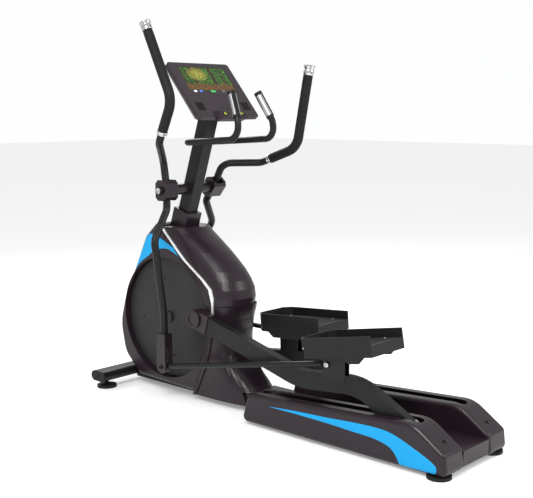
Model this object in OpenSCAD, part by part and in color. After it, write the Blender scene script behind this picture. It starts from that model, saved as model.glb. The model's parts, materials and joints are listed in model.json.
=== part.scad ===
// Front-drive elliptical trainer: a welded base with two roller tracks, a housing round a
// crank and flywheel, two pedal arms, two swinging handles, a mast and a console.
// Millimetres. +X is the user's right, +Y is forward (towards the console), +Z is up.
// The origin is on the floor, under the middle of the whole machine.

/* [Overall] */
// Length of the base, from the rear ends of the rail covers to the front stabiliser
base_len = 1976; // [1900:4:2100]
// Distance from the middle plane to the outer face of a rail cover
rail_half_w = 226; // [214:1:250]
// Height of the axis that both handles swing on
pivot_z = 984; // [960:2:1040]
// Length of the straight upper part of each handle
handle_rise = 325; // [270:5:400]

/* [Drive] */
// Radius of the crank, which is half of the stride
crank_r = 259; // [210:1:262]
// Radius of each crank disc
disc_r = 287; // [280:1:300]
// Height of the crank axle
crank_z = 370; // [362:1:400]
// Diameter of the crank axle
axle_d = 25; // [20:1:30]
// Half of the width of the housing
housing_half_w = 128; // [122:1:134]
// Radius of the flywheel
flywheel_r = 115; // [100:5:120]
// Radius of the small pulley on the flywheel
small_pulley_r = 28; // [24:1:34]
// Radius of the large pulley on the crank axle
big_pulley_r = 130; // [110:2:140]

/* [Pedals] */
// Distance from the middle plane to the middle of a pedal arm
arm_x = 156; // [154:1:166]
// Width of the pedal arm's rectangular tube
arm_w = 40; // [36:1:44]
// Depth of the pedal arm's rectangular tube
arm_h = 76; // [66:1:80]
// Wall of the steel tubes
tube_wall = 2.5; // [2:0.1:4]
// Length of a pedal tray
tray_len = 368; // [330:2:400]
// Width of a pedal tray
tray_w = 216; // [180:2:220]
// Height of the walls above the floor of a pedal tray
tray_wall_h = 36; // [24:1:50]
// Radius of a track roller
roller_r = 28; // [24:1:30]

/* [Handles] */
// Diameter of the handle tubes
handle_d = 35; // [32:1:38]
// Thickness of the foam on the handles
foam_t = 5; // [3:0.5:7]
// Distance from the swing axis down to the eye of the link rod
swing_r = 818; // [780:2:850]
// Diameter of the link rods
rod_d = 24; // [18:1:28]
// Diameter of the bar that carries the pulse grips
pulse_d = 30; // [25:1:34]

/* [Mast and console] */
// Width of the mast tube
mast_w = 60; // [50:2:80]
// Depth of the mast tube
mast_d = 72; // [60:2:90]
// Angle that the mast leans back from upright
mast_lean = 18.3; // [14:0.1:22]
// Width of the console
console_w = 388; // [340:4:440]
// Height of the console, along its sloping face
console_h = 323; // [290:2:340]
// Angle that the console's face leans back from upright
console_lean = 40.5; // [35:0.5:50]

/* [Hidden] */
$fn = 64;
hull_fn = 32;
fit = 0.05;      // radial running clearance of a shaft in its bearing
press = 0.02;    // radial clearance of a piece fixed on a shaft
gap = 0.4;       // clearance between plastic pieces

// ---- base ----
rear_y = -base_len / 2 - 2;      // rear ends of the rail covers
front_y = base_len / 2 + 2;      // front edge of the stabiliser
stab_depth = 100;
stab_h = 50;
stab_z = 62;
stab_y = front_y - stab_depth / 2;
stab_half_w = 306;
stab_cap_t = 6;
foot_r = 48;
foot_t = 12;
front_foot_x = 250;
rear_foot_x = 190;
rear_foot_y = rear_y + 52;
beam_w = 40;
beam_h = 50;
beam_x = 62;                     // middle of each long beam
beam_z = 26;                     // underside of the long beams
cross_h = 26;
cross_y = [rear_foot_y, -830, -330];
cross_half = 208;                // half of the length of a cross member

// ---- tracks and rail covers ----
track_slope = 3.5;               // the tracks rise towards the rear
cover_wall = 3;
cover_bottom_z = 14;
cover_inner_x = 94;
cover_front_y = 48;
cover_top_front_z = 142;
cover_chamfer_y = rear_y + 150;
cover_end_z = 100;
cover_round = 14;
slot_w = arm_w + 8;
slot_rear_y = -842;
roller_y = -775;                 // left roller at the rear end of its travel
roller_w = 16;
roller_off = arm_w / 2 + 4 + roller_w / 2;
roller_axle_d = 14;
cover_top_rear_z = cover_top_front_z
    + (cover_front_y - 38 - cover_chamfer_y) * tan(track_slope);
roller_z = cover_top_front_z + (cover_front_y - 38 - roller_y) * tan(track_slope)
    - cover_wall - 10 - roller_r;
track_w = roller_w + 6;
track_h = 24;
track_front_y = -215;
track_rear_y = -855;

// ---- crank and linkage, solved for the two ends of the stride ----
crank_y = 642;
crank_phase = 8.5;               // the left crank pin stands this far above the level line
left_pin = [0, crank_y - crank_r * cos(crank_phase), crank_z + crank_r * sin(crank_phase)];
right_pin = [0, crank_y + crank_r * cos(crank_phase), crank_z - crank_r * sin(crank_phase)];
left_roller = [0, roller_y, roller_z];
arm_len = norm(left_pin - left_roller);
track_dir = [0, cos(track_slope), -sin(track_slope)];
to_pin = right_pin - left_roller;
along = to_pin * track_dir;
stride = along - sqrt(arm_len * arm_len - (to_pin * to_pin - along * along));
right_roller = left_roller + track_dir * stride;
left_lean = atan2(left_pin[2] - left_roller[2], left_pin[1] - left_roller[1]);
right_lean = atan2(right_pin[2] - right_roller[2], right_pin[1] - right_roller[1]);
right_tilt = right_lean - left_lean;

pivot_y = 589;
eye_x = 222;                     // middle plane of a link rod
eye_lag = 3.2;                   // the left eye hangs this far behind the plumb line
bolt_rel = [0, 332, 206];        // link rod bolt, from the roller, on the left arm
pivot = [0, pivot_y, pivot_z];
left_bolt = left_roller + bolt_rel;
right_bolt = right_roller + turned(bolt_rel, right_tilt);
left_eye = pivot + swing_r * [0, -sin(eye_lag), -cos(eye_lag)];
rod_len = norm(left_eye - left_bolt);
clevis_r = 30;                   // the round foot of each handle's clevis
clevis_half = 27;
bolt_to_pivot = pivot - right_bolt;
reach = norm(bolt_to_pivot);
eye_angle = acos((reach * reach + swing_r * swing_r - rod_len * rod_len) / (2 * reach * swing_r));
right_eye_dir = turned(-bolt_to_pivot / reach, eye_angle);
right_eye = pivot + swing_r * right_eye_dir;
swing = atan2(right_eye_dir[1], -right_eye_dir[2]) + eye_lag;
left_rod_lean = atan2(left_eye[2] - left_bolt[2], left_eye[1] - left_bolt[1]);
right_rod_lean = atan2(right_eye[2] - right_bolt[2], right_eye[1] - right_bolt[1]);
centre_y = (right_eye[1] + clevis_r + rear_y) / 2;

// ---- housing ----
shell_t = 3;
shell_round = 22;
disc_t = 8;
recess = 30;                     // depth of the round recess that each disc sits in
disc_face_x = housing_half_w - recess;
disc_gap = 3;
hood_x = housing_half_w - shell_round + 12;
trim_t = 6;
hood_split_z = 466;
shell_path = [
    [0, 433, 43], [0, 840, 55], [0, 950, 150], [0, 984, 300], [0, 940, 452],
    [0, 858, 596], [0, 780, 752], [0, 700, 826], [0, 652, 800], [0, 500, 658],
    [0, 372, 572], [0, 318, 490], [0, 322, 340]
];
shell_bends = [30, 40, 120, 200, 400, 300, 60, 26, 26, 300, 90, 90, 60];

// ---- mast ----
mast_foot_z = 120;
mast_top_z = 1378;
mast_ref = [0, 617.6, 853.6];    // a point on the mast's middle line
mast_slope = tan(mast_lean);

// ---- console ----
console_t = 46;
console_foot = [0, 324, 1321];   // middle of the lower edge of the face
screen_w = 294;
screen_h = 153;
screen_v = 221;                  // middle of the screen, up the face
key_d = 15;
key_stand = 2.5;                 // more than a key's travel
key_u = 53;
key_v = -2;

// ---- handles, as points in [outwards, forward, up] from the swing axis ----
hub_x = 152;
hub_w = 78;
axle_end_x = 205;
pivot_d = 25;
axle_nut_r = 18;
sleeve_d = 52;
handle_r = handle_d / 2;
upper_route = [[hub_x, 2, 20], [hub_x - 2, 22, 132], [270, -84, 222], [292, -196, 412],
    [286, -28, 412 + handle_rise]];
upper_bends = [62, 60, 95];
lower_route = [[hub_x, 0, -20], [hub_x + 4, -2, -92], [260, -30, -222], [eye_x + 4, -48, -560],
    [eye_x, -46, -700]];
lower_bends = [46, 70, 200];
foam_start = 0.30;

// ---- pulse bar ----
pulse_route = [[-86, 231, 1426], [-112, 168, 1306], [-118, 158, 1226], [-125, 500, 1205],
    [125, 500, 1205], [118, 158, 1226], [112, 168, 1306], [86, 231, 1426]];
pulse_bends = [60, 55, 45, 45, 55, 60];

// ---- helpers ----
function unit(v) = v / norm(v);
function turned(v, a) = [v[0], v[1] * cos(a) - v[2] * sin(a), v[1] * sin(a) + v[2] * cos(a)];

// An arc of radius r, in k steps, that rounds the corner p between a and b.
function bend(a, p, b, r, k) =
    let (
        u = unit(a - p), v = unit(b - p), corner = acos(u * v), turn = 180 - corner,
        c = p + unit(u + v) * (r / sin(corner / 2)),
        n = unit(p + u * (r / tan(corner / 2)) - c),
        e = unit(p + v * (r / tan(corner / 2)) - c),
        w = unit(e - n * (n * e))
    )
    [for (i = [0:k]) c + r * (n * cos(turn * i / k) + w * sin(turn * i / k))];

// A route through the points pts, with its inner corners rounded.
function rounded_route(pts, radii, k = 8) = concat(
    [pts[0]],
    [for (i = [1:len(pts) - 2]) each bend(pts[i - 1], pts[i], pts[i + 1], radii[i - 1], k)],
    [pts[len(pts) - 1]]
);

// A closed outline with every corner rounded.
function rounded_loop(pts, radii, k = 6) =
    let (n = len(pts))
    [for (i = [0:n - 1]) each bend(pts[(i + n - 1) % n], pts[i], pts[(i + 1) % n], radii[i], k)];

// The closed outline in the YZ plane, moved inwards by d. Its points run anticlockwise
// as seen from +X.
function inset(pts, d) =
    let (n = len(pts))
    [for (i = [0:n - 1])
        let (
            a = unit(pts[i] - pts[(i + n - 1) % n]), b = unit(pts[(i + 1) % n] - pts[i]),
            na = [0, -a[2], a[1]], nb = [0, -b[2], b[1]]
        )
        pts[i] + (na + nb) * d / (1 + na * nb)];

function yz(pts) = [for (p = pts) [p[1], p[2]]];

// A flat plate in the YZ plane between x0 and x1, drawn from [y, z] points.
module plate(pts, x0, x1) {
    translate([x0, 0, 0])
        rotate([90, 0, 90])
            linear_extrude(x1 - x0)
                polygon(pts);
}

// The rounding levels [x, inset] of a pillow's end at x, with radius r, going in direction s.
function end_levels(x, r, s, steps) =
    r > 0 ? [for (i = [0:steps])
        let (a = 90 * i / steps) [x + s * r * (1 - cos(a)), r * (1 - sin(a))]]
    : [[x, 0]];

function reversed(v) = [for (i = [len(v) - 1:-1:0]) v[i]];

// A slab between x0 and x1 with the outline pts, its edges rounded by r0 at x0 and r1 at x1.
module pillow(pts, x0, x1, r0, r1, steps = 3) {
    levels = concat(end_levels(x0, r0, 1, steps), reversed(end_levels(x1, r1, -1, steps)));
    n = len(pts);
    m = len(levels);
    rings = [for (v = levels) each [for (p = inset(pts, v[1])) [v[0], p[1], p[2]]]];
    sides = [for (i = [0:m - 2]) for (j = [0:n - 1])
        [i * n + j, (i + 1) * n + j, (i + 1) * n + (j + 1) % n, i * n + (j + 1) % n]];
    polyhedron(rings, concat(sides, [[for (j = [0:n - 1]) j]],
        [[for (j = [n - 1:-1:0]) (m - 1) * n + j]]));
}

function tangent(path, i) =
    let (n = len(path))
    i == 0 ? unit(path[1] - path[0])
    : i == n - 1 ? unit(path[n - 1] - path[n - 2])
    : unit(unit(path[i + 1] - path[i]) + unit(path[i] - path[i - 1]));

function ring(c, t, r, sides) =
    let (ref = abs(t[0]) < 0.9 ? [1, 0, 0] : [0, 0.3, 1], n = unit(cross(t, ref)), b = cross(t, n))
    [for (j = [0:sides - 1]) let (a = 360 * j / sides) c + r * (n * cos(a) + b * sin(a))];

// A round tube, or a rod where ri is 0, along a route.
module sweep(path, ro, ri = 0, sides = 16) {
    m = len(path);
    n = sides;
    outer = [for (i = [0:m - 1]) each ring(path[i], tangent(path, i), ro, n)];
    inner = ri > 0 ? [for (i = [0:m - 1]) each ring(path[i], tangent(path, i), ri, n)] : [];
    k = m * n;
    skin = [for (i = [0:m - 2]) for (j = [0:n - 1])
        [i * n + j, (i + 1) * n + j, (i + 1) * n + (j + 1) % n, i * n + (j + 1) % n]];
    bore = [for (q = skin) [for (e = reversed(q)) e + k]];
    ends = ri > 0
        ? [for (j = [0:n - 1]) each [
            [j, (j + 1) % n, k + (j + 1) % n, k + j],
            [k + k - n + j, k + k - n + (j + 1) % n, k - n + (j + 1) % n, k - n + j]]]
        : [[for (j = [0:n - 1]) j], [for (j = [n - 1:-1:0]) k - n + j]];
    polyhedron(concat(outer, inner), concat(skin, ri > 0 ? bore : [], ends));
}

// The outline of a band of depth 2 * half that follows a route in the YZ plane.
function band(path, half) =
    let (
        side = [for (i = [0:len(path) - 1])
            let (t = tangent(path, i), n = [0, -t[2], t[1]]) n * half]
    )
    yz(concat([for (i = [0:len(path) - 1]) path[i] - side[i]],
        reversed([for (i = [0:len(path) - 1]) path[i] + side[i]])));

// A round bar along X between x0 and x1, with its axis through [_, y, z] of c.
module bar(c, x0, x1, r) {
    translate([x0, c[1], c[2]])
        rotate([0, 90, 0])
            cylinder(h = x1 - x0, r = r);
}

module tube_bar(c, x0, x1, ro, ri) {
    difference() {
        bar(c, x0, x1, ro);
        bar(c, x0 - 1, x1 + 1, ri);
    }
}

// Puts a child that points along +Z at p, pointing along d.
module aimed(p, d) {
    translate(p)
        rotate([0, acos(d[2]), atan2(d[1], d[0])])
            children();
}

module both_sides() {
    children();
    mirror([1, 0, 0])
        children();
}

// Moves the whole machine so that its box is centred on the origin.
module centred() {
    translate([0, -centre_y, 0])
        children();
}

// Pieces are drawn for the right side in the left side's pose, and then placed.
module on_arm(side) {
    if (side < 0)
        mirror([1, 0, 0])
            children();
    else
        translate(right_roller)
            rotate([right_tilt, 0, 0])
                translate(-left_roller)
                    children();
}

module on_swing(side) {
    if (side < 0)
        mirror([1, 0, 0])
            children();
    else
        translate(pivot)
            rotate([swing, 0, 0])
                translate(-pivot)
                    children();
}

// Drawn with the bolt at the origin and the eye along +Y.
module on_rod(side) {
    if (side < 0)
        mirror([1, 0, 0])
            translate(left_bolt)
                rotate([left_rod_lean, 0, 0])
                    children();
    else
        translate(right_bolt)
            rotate([right_rod_lean, 0, 0])
                children();
}

// ---- base ----
side_plate_x = 46;
side_plate_t = 6;
flywheel_y = 545;
flywheel_z = 520;
flywheel_c = [0, flywheel_y, flywheel_z];
crank_c = [0, crank_y, crank_z];
bearing_t = 12;
bearing_wall = 9;
shaft_r = axle_d / 2;
fly_shaft_r = 10;
belt_x = -side_plate_x - side_plate_t - 16;
belt_w = 16;
belt_t = 3;
side_plate_pts = [[560, beam_z + beam_h], [720, beam_z + beam_h], [700, crank_z + 40],
    [600, flywheel_z + 40], [500, flywheel_z + 40], [500, flywheel_z - 40], [585, crank_z]];
mast_socket_h = 110;
socket_t = 4;

function mast_at(z) = [0, mast_ref[1] - (z - mast_ref[2]) * mast_slope, z];

// A leaning prism of width w and level depth d that follows the mast from z0 to z1.
module mast_prism(w, d, z0, z1) {
    a = mast_at(z0);
    b = mast_at(z1);
    plate([[a[1] - d / 2, z0], [a[1] + d / 2, z0], [b[1] + d / 2, z1], [b[1] - d / 2, z1]],
        -w / 2, w / 2);
}

module side_plate(x0, x1) {
    difference() {
        plate(side_plate_pts, x0, x1);
        bar(crank_c, x0 - 1, x1 + 1, shaft_r + bearing_wall);
        bar(flywheel_c, x0 - 1, x1 + 1, fly_shaft_r + bearing_wall);
    }
}

module base_frame() {
    color("dimgray")
        difference() {
            union() {
                both_sides() {
                    difference() {
                        translate([beam_x - beam_w / 2, rear_foot_y - 20, beam_z])
                            cube([beam_w, stab_y - stab_depth / 2 - rear_foot_y + 40, beam_h]);
                        translate([beam_x - beam_w / 2 + tube_wall, rear_foot_y - 21,
                            beam_z + tube_wall])
                            cube([beam_w - 2 * tube_wall, base_len, beam_h - 2 * tube_wall]);
                    }
                    side_plate(side_plate_x, side_plate_x + side_plate_t);
                }
                for (y = cross_y)
                    translate([-cross_half, y - 20, beam_z - cross_h / 2])
                        cube([2 * cross_half, 40, cross_h]);
                translate([-beam_x + beam_w / 2, mast_at(mast_foot_z)[1] - 60, beam_z])
                    cube([2 * beam_x - beam_w, 120, beam_h]);
                mast_prism(mast_w + 2 * socket_t + 2 * fit, mast_d + 2 * socket_t + 2 * fit,
                    beam_z + beam_h - 1, mast_foot_z + mast_socket_h);
            }
            mast_prism(mast_w + 2 * fit, mast_d + 2 * fit, mast_foot_z,
                mast_foot_z + mast_socket_h + 1);
            stadium(-housing_half_w, housing_half_w, 0);
            translate([-housing_half_w, stab_y, 0])
                cube([2 * housing_half_w, 200, stab_z + stab_h / 2]);
        }
}

module front_stabilizer() {
    color("#262626")
        difference() {
            stadium(-stab_half_w + stab_cap_t, stab_half_w - stab_cap_t, 0);
            stadium(-stab_half_w, stab_half_w, tube_wall);
        }
}

// The flat oval section of the stabiliser, its outline moved inwards by d.
module stadium(x0, x1, d) {
    r = stab_h / 2 - d;
    run = (stab_depth - stab_h) / 2;
    for (s = [-1, 1])
        bar([0, stab_y + s * run, stab_z], x0, x1, r);
    translate([x0, stab_y - run, stab_z - r])
        cube([x1 - x0, 2 * run, 2 * r]);
}

module stabilizer_end_caps() {
    color("#1c1c1c")
        both_sides() {
            stadium(stab_half_w - stab_cap_t, stab_half_w, 0);
            stadium(stab_half_w - 22, stab_half_w - stab_cap_t, tube_wall + fit);
        }
}

module foot(x, y, top_z) {
    translate([x, y, 0]) {
        cylinder(h = foot_t, r = foot_r);
        translate([0, 0, foot_t])
            cylinder(h = 8, r1 = foot_r * 0.8, r2 = 16);
        translate([0, 0, foot_t + 8])
            cylinder(h = top_z - foot_t - 8, r = 9);
    }
}

module levelling_feet() {
    color("#151515")
        both_sides() {
            foot(front_foot_x, stab_y, stab_z - stab_h / 2);
            translate([rear_foot_x, rear_foot_y, 0]) {
                cylinder(h = beam_z - cross_h / 2 - 1, r = foot_r);
                cylinder(h = beam_z - cross_h / 2, r = 16);
            }
        }
}

module track_strip(x0, x1) {
    function top(y) = roller_z - roller_r + (roller_y - y) * tan(track_slope);
    plate([[track_rear_y, top(track_rear_y) - track_h], [track_front_y, top(track_front_y) - track_h],
        [track_front_y, top(track_front_y)], [track_rear_y, top(track_rear_y)]], x0, x1);
}

module roller_tracks() {
    x0 = arm_x - roller_off - track_w / 2;
    x1 = arm_x + roller_off + track_w / 2;
    color("silver")
        both_sides() {
            track_strip(x0, x0 + track_w);
            track_strip(x1 - track_w, x1);
            for (y = [cross_y[1], cross_y[2]])
                for (x = [x0 + 3, x1 - 9])
                    translate([x, y - 18, beam_z + cross_h / 2])
                        cube([6, 36, roller_z - roller_r - track_h / 2 - beam_z
                            - cross_h / 2 + (roller_y - y) * tan(track_slope)]);
            for (y = [cross_y[1], cross_y[2]])
                translate([x0, y - 18, beam_z + cross_h / 2])
                    cube([x1 - x0, 36, 5]);
        }
}

rail_path = [
    [0, rear_y, cover_bottom_z], [0, cover_front_y, cover_bottom_z],
    [0, cover_front_y - 38, cover_top_front_z],
    [0, cover_chamfer_y, cover_top_rear_z], [0, rear_y + 10, cover_end_z]
];
rail_bends = [24, 24, 40, 130, 24];

module rail_cover(side) {
    outline = rounded_loop(rail_path, rail_bends, 5);
    x0 = cover_inner_x;
    x1 = rail_half_w;
    mirror([side < 0 ? 1 : 0, 0, 0])
        color("#3a3238")
            difference() {
                pillow(outline, x0, x1, cover_round, cover_round);
                pillow(inset(outline, cover_wall), x0 + cover_wall, x1 - cover_wall,
                    cover_round - cover_wall, cover_round - cover_wall);
                translate([x0 + cover_round, rear_y + 16, 0])
                    cube([x1 - x0 - 2 * cover_round, -rear_y + cover_front_y - 32,
                        cover_bottom_z + cover_wall + 1]);
                rail_slot();
                for (y = cross_y)
                    translate([x0 - 1, y - 20 - gap, 0])
                        cube([cross_half + gap - x0 + 1, 40 + 2 * gap, beam_z + cross_h / 2 + gap]);
                translate([arm_x, rear_y + 49, 0])
                    cylinder(h = 300, r = 3.2);
            }
}

// The long slot that a pedal arm passes through, open at the front end of the cover.
module rail_slot() {
    translate([arm_x, slot_rear_y + slot_w / 2, cover_bottom_z + cover_wall + 4])
        cylinder(h = 300, r = slot_w / 2);
    translate([arm_x - slot_w / 2, slot_rear_y + slot_w / 2, cover_bottom_z + cover_wall + 4])
        cube([slot_w, 2 * base_len, 300]);
}

middle_top_z = 86;
middle_front_y = 140;
middle_wall = 3;

module middle_cover() {
    color("#352c33")
        translate([-cover_inner_x + gap, rear_y + 8, beam_z + beam_h + gap])
            difference() {
                cube([2 * (cover_inner_x - gap), middle_front_y - rear_y - 8,
                    middle_top_z - beam_z - beam_h - gap]);
                translate([middle_wall, middle_wall, -1])
                    cube([2 * (cover_inner_x - gap - middle_wall), base_len,
                        middle_top_z - beam_z - beam_h - gap - middle_wall + 1]);
            }
    color("#352c33")
        translate([-cover_inner_x + gap, rear_y + 8, beam_z])
            cube([2 * (cover_inner_x - gap), middle_wall, beam_h + gap]);
}

// ---- housing ----
lip_r = disc_r + disc_gap;
lip_stand = 0.8;                 // the rim of the recess stands proud of the housing's side
hood_t = 3;
hood_power = 2.3;                // squareness of the hood's level sections
trim_foot_z = 390;               // the bright strips start above this height
// Each row is the height, the edge of the hood, and its rearmost point on the middle plane.
hood_rows = [
    [hood_split_z, 326, 226], [500, 322, 220], [540, 334, 224], [580, 380, 240],
    [620, 440, 268], [660, 500, 312], [700, 546, 364], [740, 588, 424], [780, 630, 488],
    [805, 656, 520]
];
lower_rows = [
    [beam_z + 2, 444, 62], [50, 432, 80], [86, 414, 104], [110, 402, 128], [140, 388, 168],
    [190, 366, 226], [240, 350, 256], [300, 336, 264], [350, 326, 262], [400, 324, 250],
    [440, 325, 234], [hood_split_z - gap, 326, 227]
];

// A bulging sheet. Each row [z, edge, apex] is half a superellipse of half width w.
module bulge(rows, w, t, power, n = 12) {
    m = len(rows);
    k = 2 * n + 1;
    function across(row, d, j) =
        let (a = 90 * j / n, c = cos(a), q = sin(a), depth = row[1] - row[2] - d)
        [(w - d) * sign(q) * pow(abs(q), 2 / power), row[1] - depth * pow(abs(c), 2 / power), row[0]];
    outer = [for (r = rows) for (j = [-n:n]) across(r, 0, j)];
    inner = [for (r = rows) for (j = [-n:n]) across(r, t, j)];
    s = m * k;
    skin = [for (i = [0:m - 2]) for (j = [0:k - 2])
        [i * k + j, (i + 1) * k + j, (i + 1) * k + j + 1, i * k + j + 1]];
    back = [for (q = skin) [for (e = reversed(q)) e + s]];
    rims = [for (j = [0:k - 2]) each [
        [j, j + 1, s + j + 1, s + j],
        [s + (m - 1) * k + j, s + (m - 1) * k + j + 1, (m - 1) * k + j + 1, (m - 1) * k + j]]];
    edges = [for (i = [0:m - 2]) each [
        [i * k, s + i * k, s + (i + 1) * k, (i + 1) * k],
        [(i + 1) * k - 1, (i + 2) * k - 1, s + (i + 2) * k - 1, s + (i + 1) * k - 1]]];
    polyhedron(concat(outer, inner), concat(skin, back, rims, edges));
}

module side_shell() {
    outline = rounded_loop(shell_path, shell_bends, 6);
    hole = [0, crank_y, crank_z];
    difference() {
        pillow(outline, gap / 2, housing_half_w, 0, shell_round, 4);
        pillow(inset(outline, shell_t), -1, housing_half_w - shell_t, 0, shell_round - shell_t, 4);
        bar(hole, housing_half_w - shell_t - 1, housing_half_w + 1, lip_r + shell_t / 2);
        rear_cut();
        mast_cut(0);
        translate([-1, 400, 0])
            cube([beam_x + beam_w / 2 + 2 + gap, 600, beam_z + beam_h + gap]);
        mast_prism(mast_w + 2 * socket_t + 2, mast_d + 2 * socket_t + 2, beam_z,
            mast_foot_z + mast_socket_h);
    }
    tube_bar(hole, disc_face_x - disc_t - 2, housing_half_w + lip_stand, lip_r + shell_t, lip_r);
}

// The space behind the side shells' rear edges, which the hood and the lower cover fill.
module rear_cut() {
    outline = rounded_loop(shell_path, shell_bends, 6);
    pts = concat([for (r = lower_rows) [r[1] + 16, r[0]]], [for (r = hood_rows) [r[1] + 16, r[0]]],
        [[656 + 16, 900], [0, 900], [0, -10], [460, -10]]);
    plate(pts, -1, hood_x + trim_t + gap);
}

// Room for the boot where the mast leaves the housing.
module mast_cut(d) {
    mast_prism(mast_w + 34 + 2 * d, mast_d + 34 + 2 * d, 640, 1000);
}

module left_side_shell() {
    color("#3a3038")
        mirror([1, 0, 0])
            side_shell();
}

module right_side_shell() {
    color("#3a3038")
        side_shell();
}

module rear_hood() {
    top = hood_rows[len(hood_rows) - 1];
    lid = [for (a = [-90:10:90])
        [(hood_x - 1) * sign(sin(a)) * pow(abs(sin(a)), 2 / hood_power),
            top[1] - (top[1] - top[2] - 1) * pow(cos(a), 2 / hood_power)]];
    color("#3c333a")
        difference() {
            union() {
                bulge(hood_rows, hood_x, hood_t, hood_power);
                translate([0, 0, top[0] - hood_t])
                    linear_extrude(hood_t)
                        polygon(concat(lid, [[hood_x - 1, top[1] + 16 - gap],
                            [1 - hood_x, top[1] + 16 - gap]]));
            }
            mast_cut(0);
        }
}

module lower_rear_cover() {
    color("#2a2029")
        difference() {
            bulge(lower_rows, hood_x, hood_t, 3.2);
            translate([-cover_inner_x - gap, 0, 0])
                cube([2 * cover_inner_x + 2 * gap, cover_front_y + 400, middle_top_z + gap]);
        }
    low = [for (r = lower_rows) if (r[0] < trim_foot_z) r];
    strip = concat([for (r = low) [r[1] + 16 - gap, r[0]]], reversed([for (r = low) [r[1] - 1, r[0]]]));
    color("#2a2029")
        both_sides()
            plate(strip, hood_x - hood_t, hood_x + trim_t);
}

boot_top_z = 880;

// A prism that follows the mast, with its top end square to the mast.
module boot_prism(w, d, z0, z1) {
    a = mast_at(z0);
    b = mast_at(z1);
    rise = d / 2 * sin(mast_lean) * cos(mast_lean);
    plate([[a[1] - d / 2, z0], [a[1] + d / 2, z0],
        [b[1] + d / 2 - rise * mast_slope, z1 + rise], [b[1] - d / 2 + rise * mast_slope, z1 - rise]],
        -w / 2, w / 2);
}

module mast_boot() {
    w = mast_w + 32;
    d = mast_d + 32;
    color("#2b2129")
        difference() {
            boot_prism(w, d, 770, boot_top_z);
            boot_prism(w - 2 * shell_t, d - 2 * shell_t, 769, boot_top_z - 4);
            mast_prism(mast_w + 2 * gap, mast_d + 2 * gap, 760, boot_top_z + 40);
        }
}

// The bright strips between the side shells and the hood, widest at their lower ends.
module silver_trims() {
    rows = concat([for (r = lower_rows) if (r[0] > trim_foot_z) r], hood_rows);
    function stand(z) = max(0.5, 6 - abs(z - 470) * 0.03);
    pts = concat([for (r = rows) [r[1] + 15, r[0]]],
        reversed([for (r = rows) [r[1] - stand(r[0]), r[0]]]));
    color("#dcdcdc")
        both_sides()
            plate(pts, hood_x + gap, hood_x + trim_t);
}

// ---- mast, axle and drive ----
module mast() {
    color("#232323")
        difference() {
            mast_prism(mast_w, mast_d, mast_foot_z + 0.5, mast_top_z);
            mast_prism(mast_w - 2 * tube_wall, mast_d - 2 * tube_wall, mast_foot_z - 1,
                mast_top_z - tube_wall);
            bar(pivot, -mast_w, mast_w, pivot_d / 2 + fit);
            bar(pulse_route[3], -mast_w, mast_w, pulse_d / 2 + fit);
        }
}

module swing_axle() {
    color("#2f2630") {
        bar(pivot, -axle_end_x, axle_end_x, pivot_d / 2);
        both_sides() {
            tube_bar(pivot, mast_w / 2 + 0.2, hub_x - hub_w / 2 - 1.5, sleeve_d / 2, pivot_d / 2);
            difference() {
                bar(pivot, hub_x + hub_w / 2 + 1.5, axle_end_x, axle_nut_r);
                bar(pivot, axle_end_x - 6, axle_end_x + 1, axle_nut_r / 2);
            }
        }
    }
}

module bearing(c, x, r) {
    tube_bar(c, x, x + bearing_t, r + bearing_wall, r + fit);
}

module bearings() {
    x = side_plate_x + side_plate_t / 2 - bearing_t / 2;
    color("silver") {
        both_sides() {
            bearing(crank_c, x, shaft_r);
            bearing(flywheel_c, x, fly_shaft_r);
        }
    }
}

module crank_axle() {
    color("gray") {
        bar(crank_c, -disc_face_x - 6, disc_face_x + 6, shaft_r);
        tube_bar(crank_c, belt_x + belt_w / 2 + 1, -side_plate_x - side_plate_t - 4, shaft_r + 6,
            shaft_r);
    }
}

module crank_pulley() {
    color("#303030")
        difference() {
            bar(crank_c, belt_x - belt_w / 2, belt_x + belt_w / 2, big_pulley_r);
            for (s = [-1, 1])
                translate([s * (belt_w / 2 + 2), 0, 0])
                    tube_bar(crank_c, belt_x - belt_w / 2, belt_x + belt_w / 2,
                        big_pulley_r - 16, shaft_r + 22);
            bar(crank_c, belt_x - belt_w, belt_x + belt_w, shaft_r + press);
        }
}

boss_r = 20;
pin_r = 11;
boot_x0 = housing_half_w + 3;
pin_end_x = housing_half_w + 1.5;
disc_hole_r = 0.65 * disc_r;

module crank_discs() {
    color("#373737")
        both_sides() {
            difference() {
                bar(crank_c, disc_face_x - disc_t, disc_face_x, disc_r);
                bar(crank_c, 0, housing_half_w, shaft_r + press);
                for (a = [0:90:270])
                    bar(crank_c + turned([0, disc_hole_r, 0], a - crank_phase), 0,
                        housing_half_w, 3.2);
            }
            tube_bar(crank_c, disc_face_x, disc_face_x + 5, shaft_r + 14, shaft_r + press);
        }
    color("#373737") {
        mirror([1, 0, 0])
            tube_bar(left_pin, disc_face_x, housing_half_w - 1, boss_r, pin_r);
        tube_bar(right_pin, disc_face_x, housing_half_w - 1, boss_r, pin_r);
    }
}

// The outline of a belt round two pulleys, drawn from [y, z] points.
function belt_outline(c1, r1, c2, r2, n = 44) =
    let (
        d = c2 - c1, base = atan2(d[2], d[1]), open = acos((r1 - r2) / norm(d)),
        arc1 = [for (i = [0:n]) base + open + (360 - 2 * open) * i / n],
        arc2 = [for (i = [0:n]) base - open + 2 * open * i / n]
    )
    concat([for (a = arc1) [c1[1] + r1 * cos(a), c1[2] + r1 * sin(a)]],
        [for (a = arc2) [c2[1] + r2 * cos(a), c2[2] + r2 * sin(a)]]);

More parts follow.
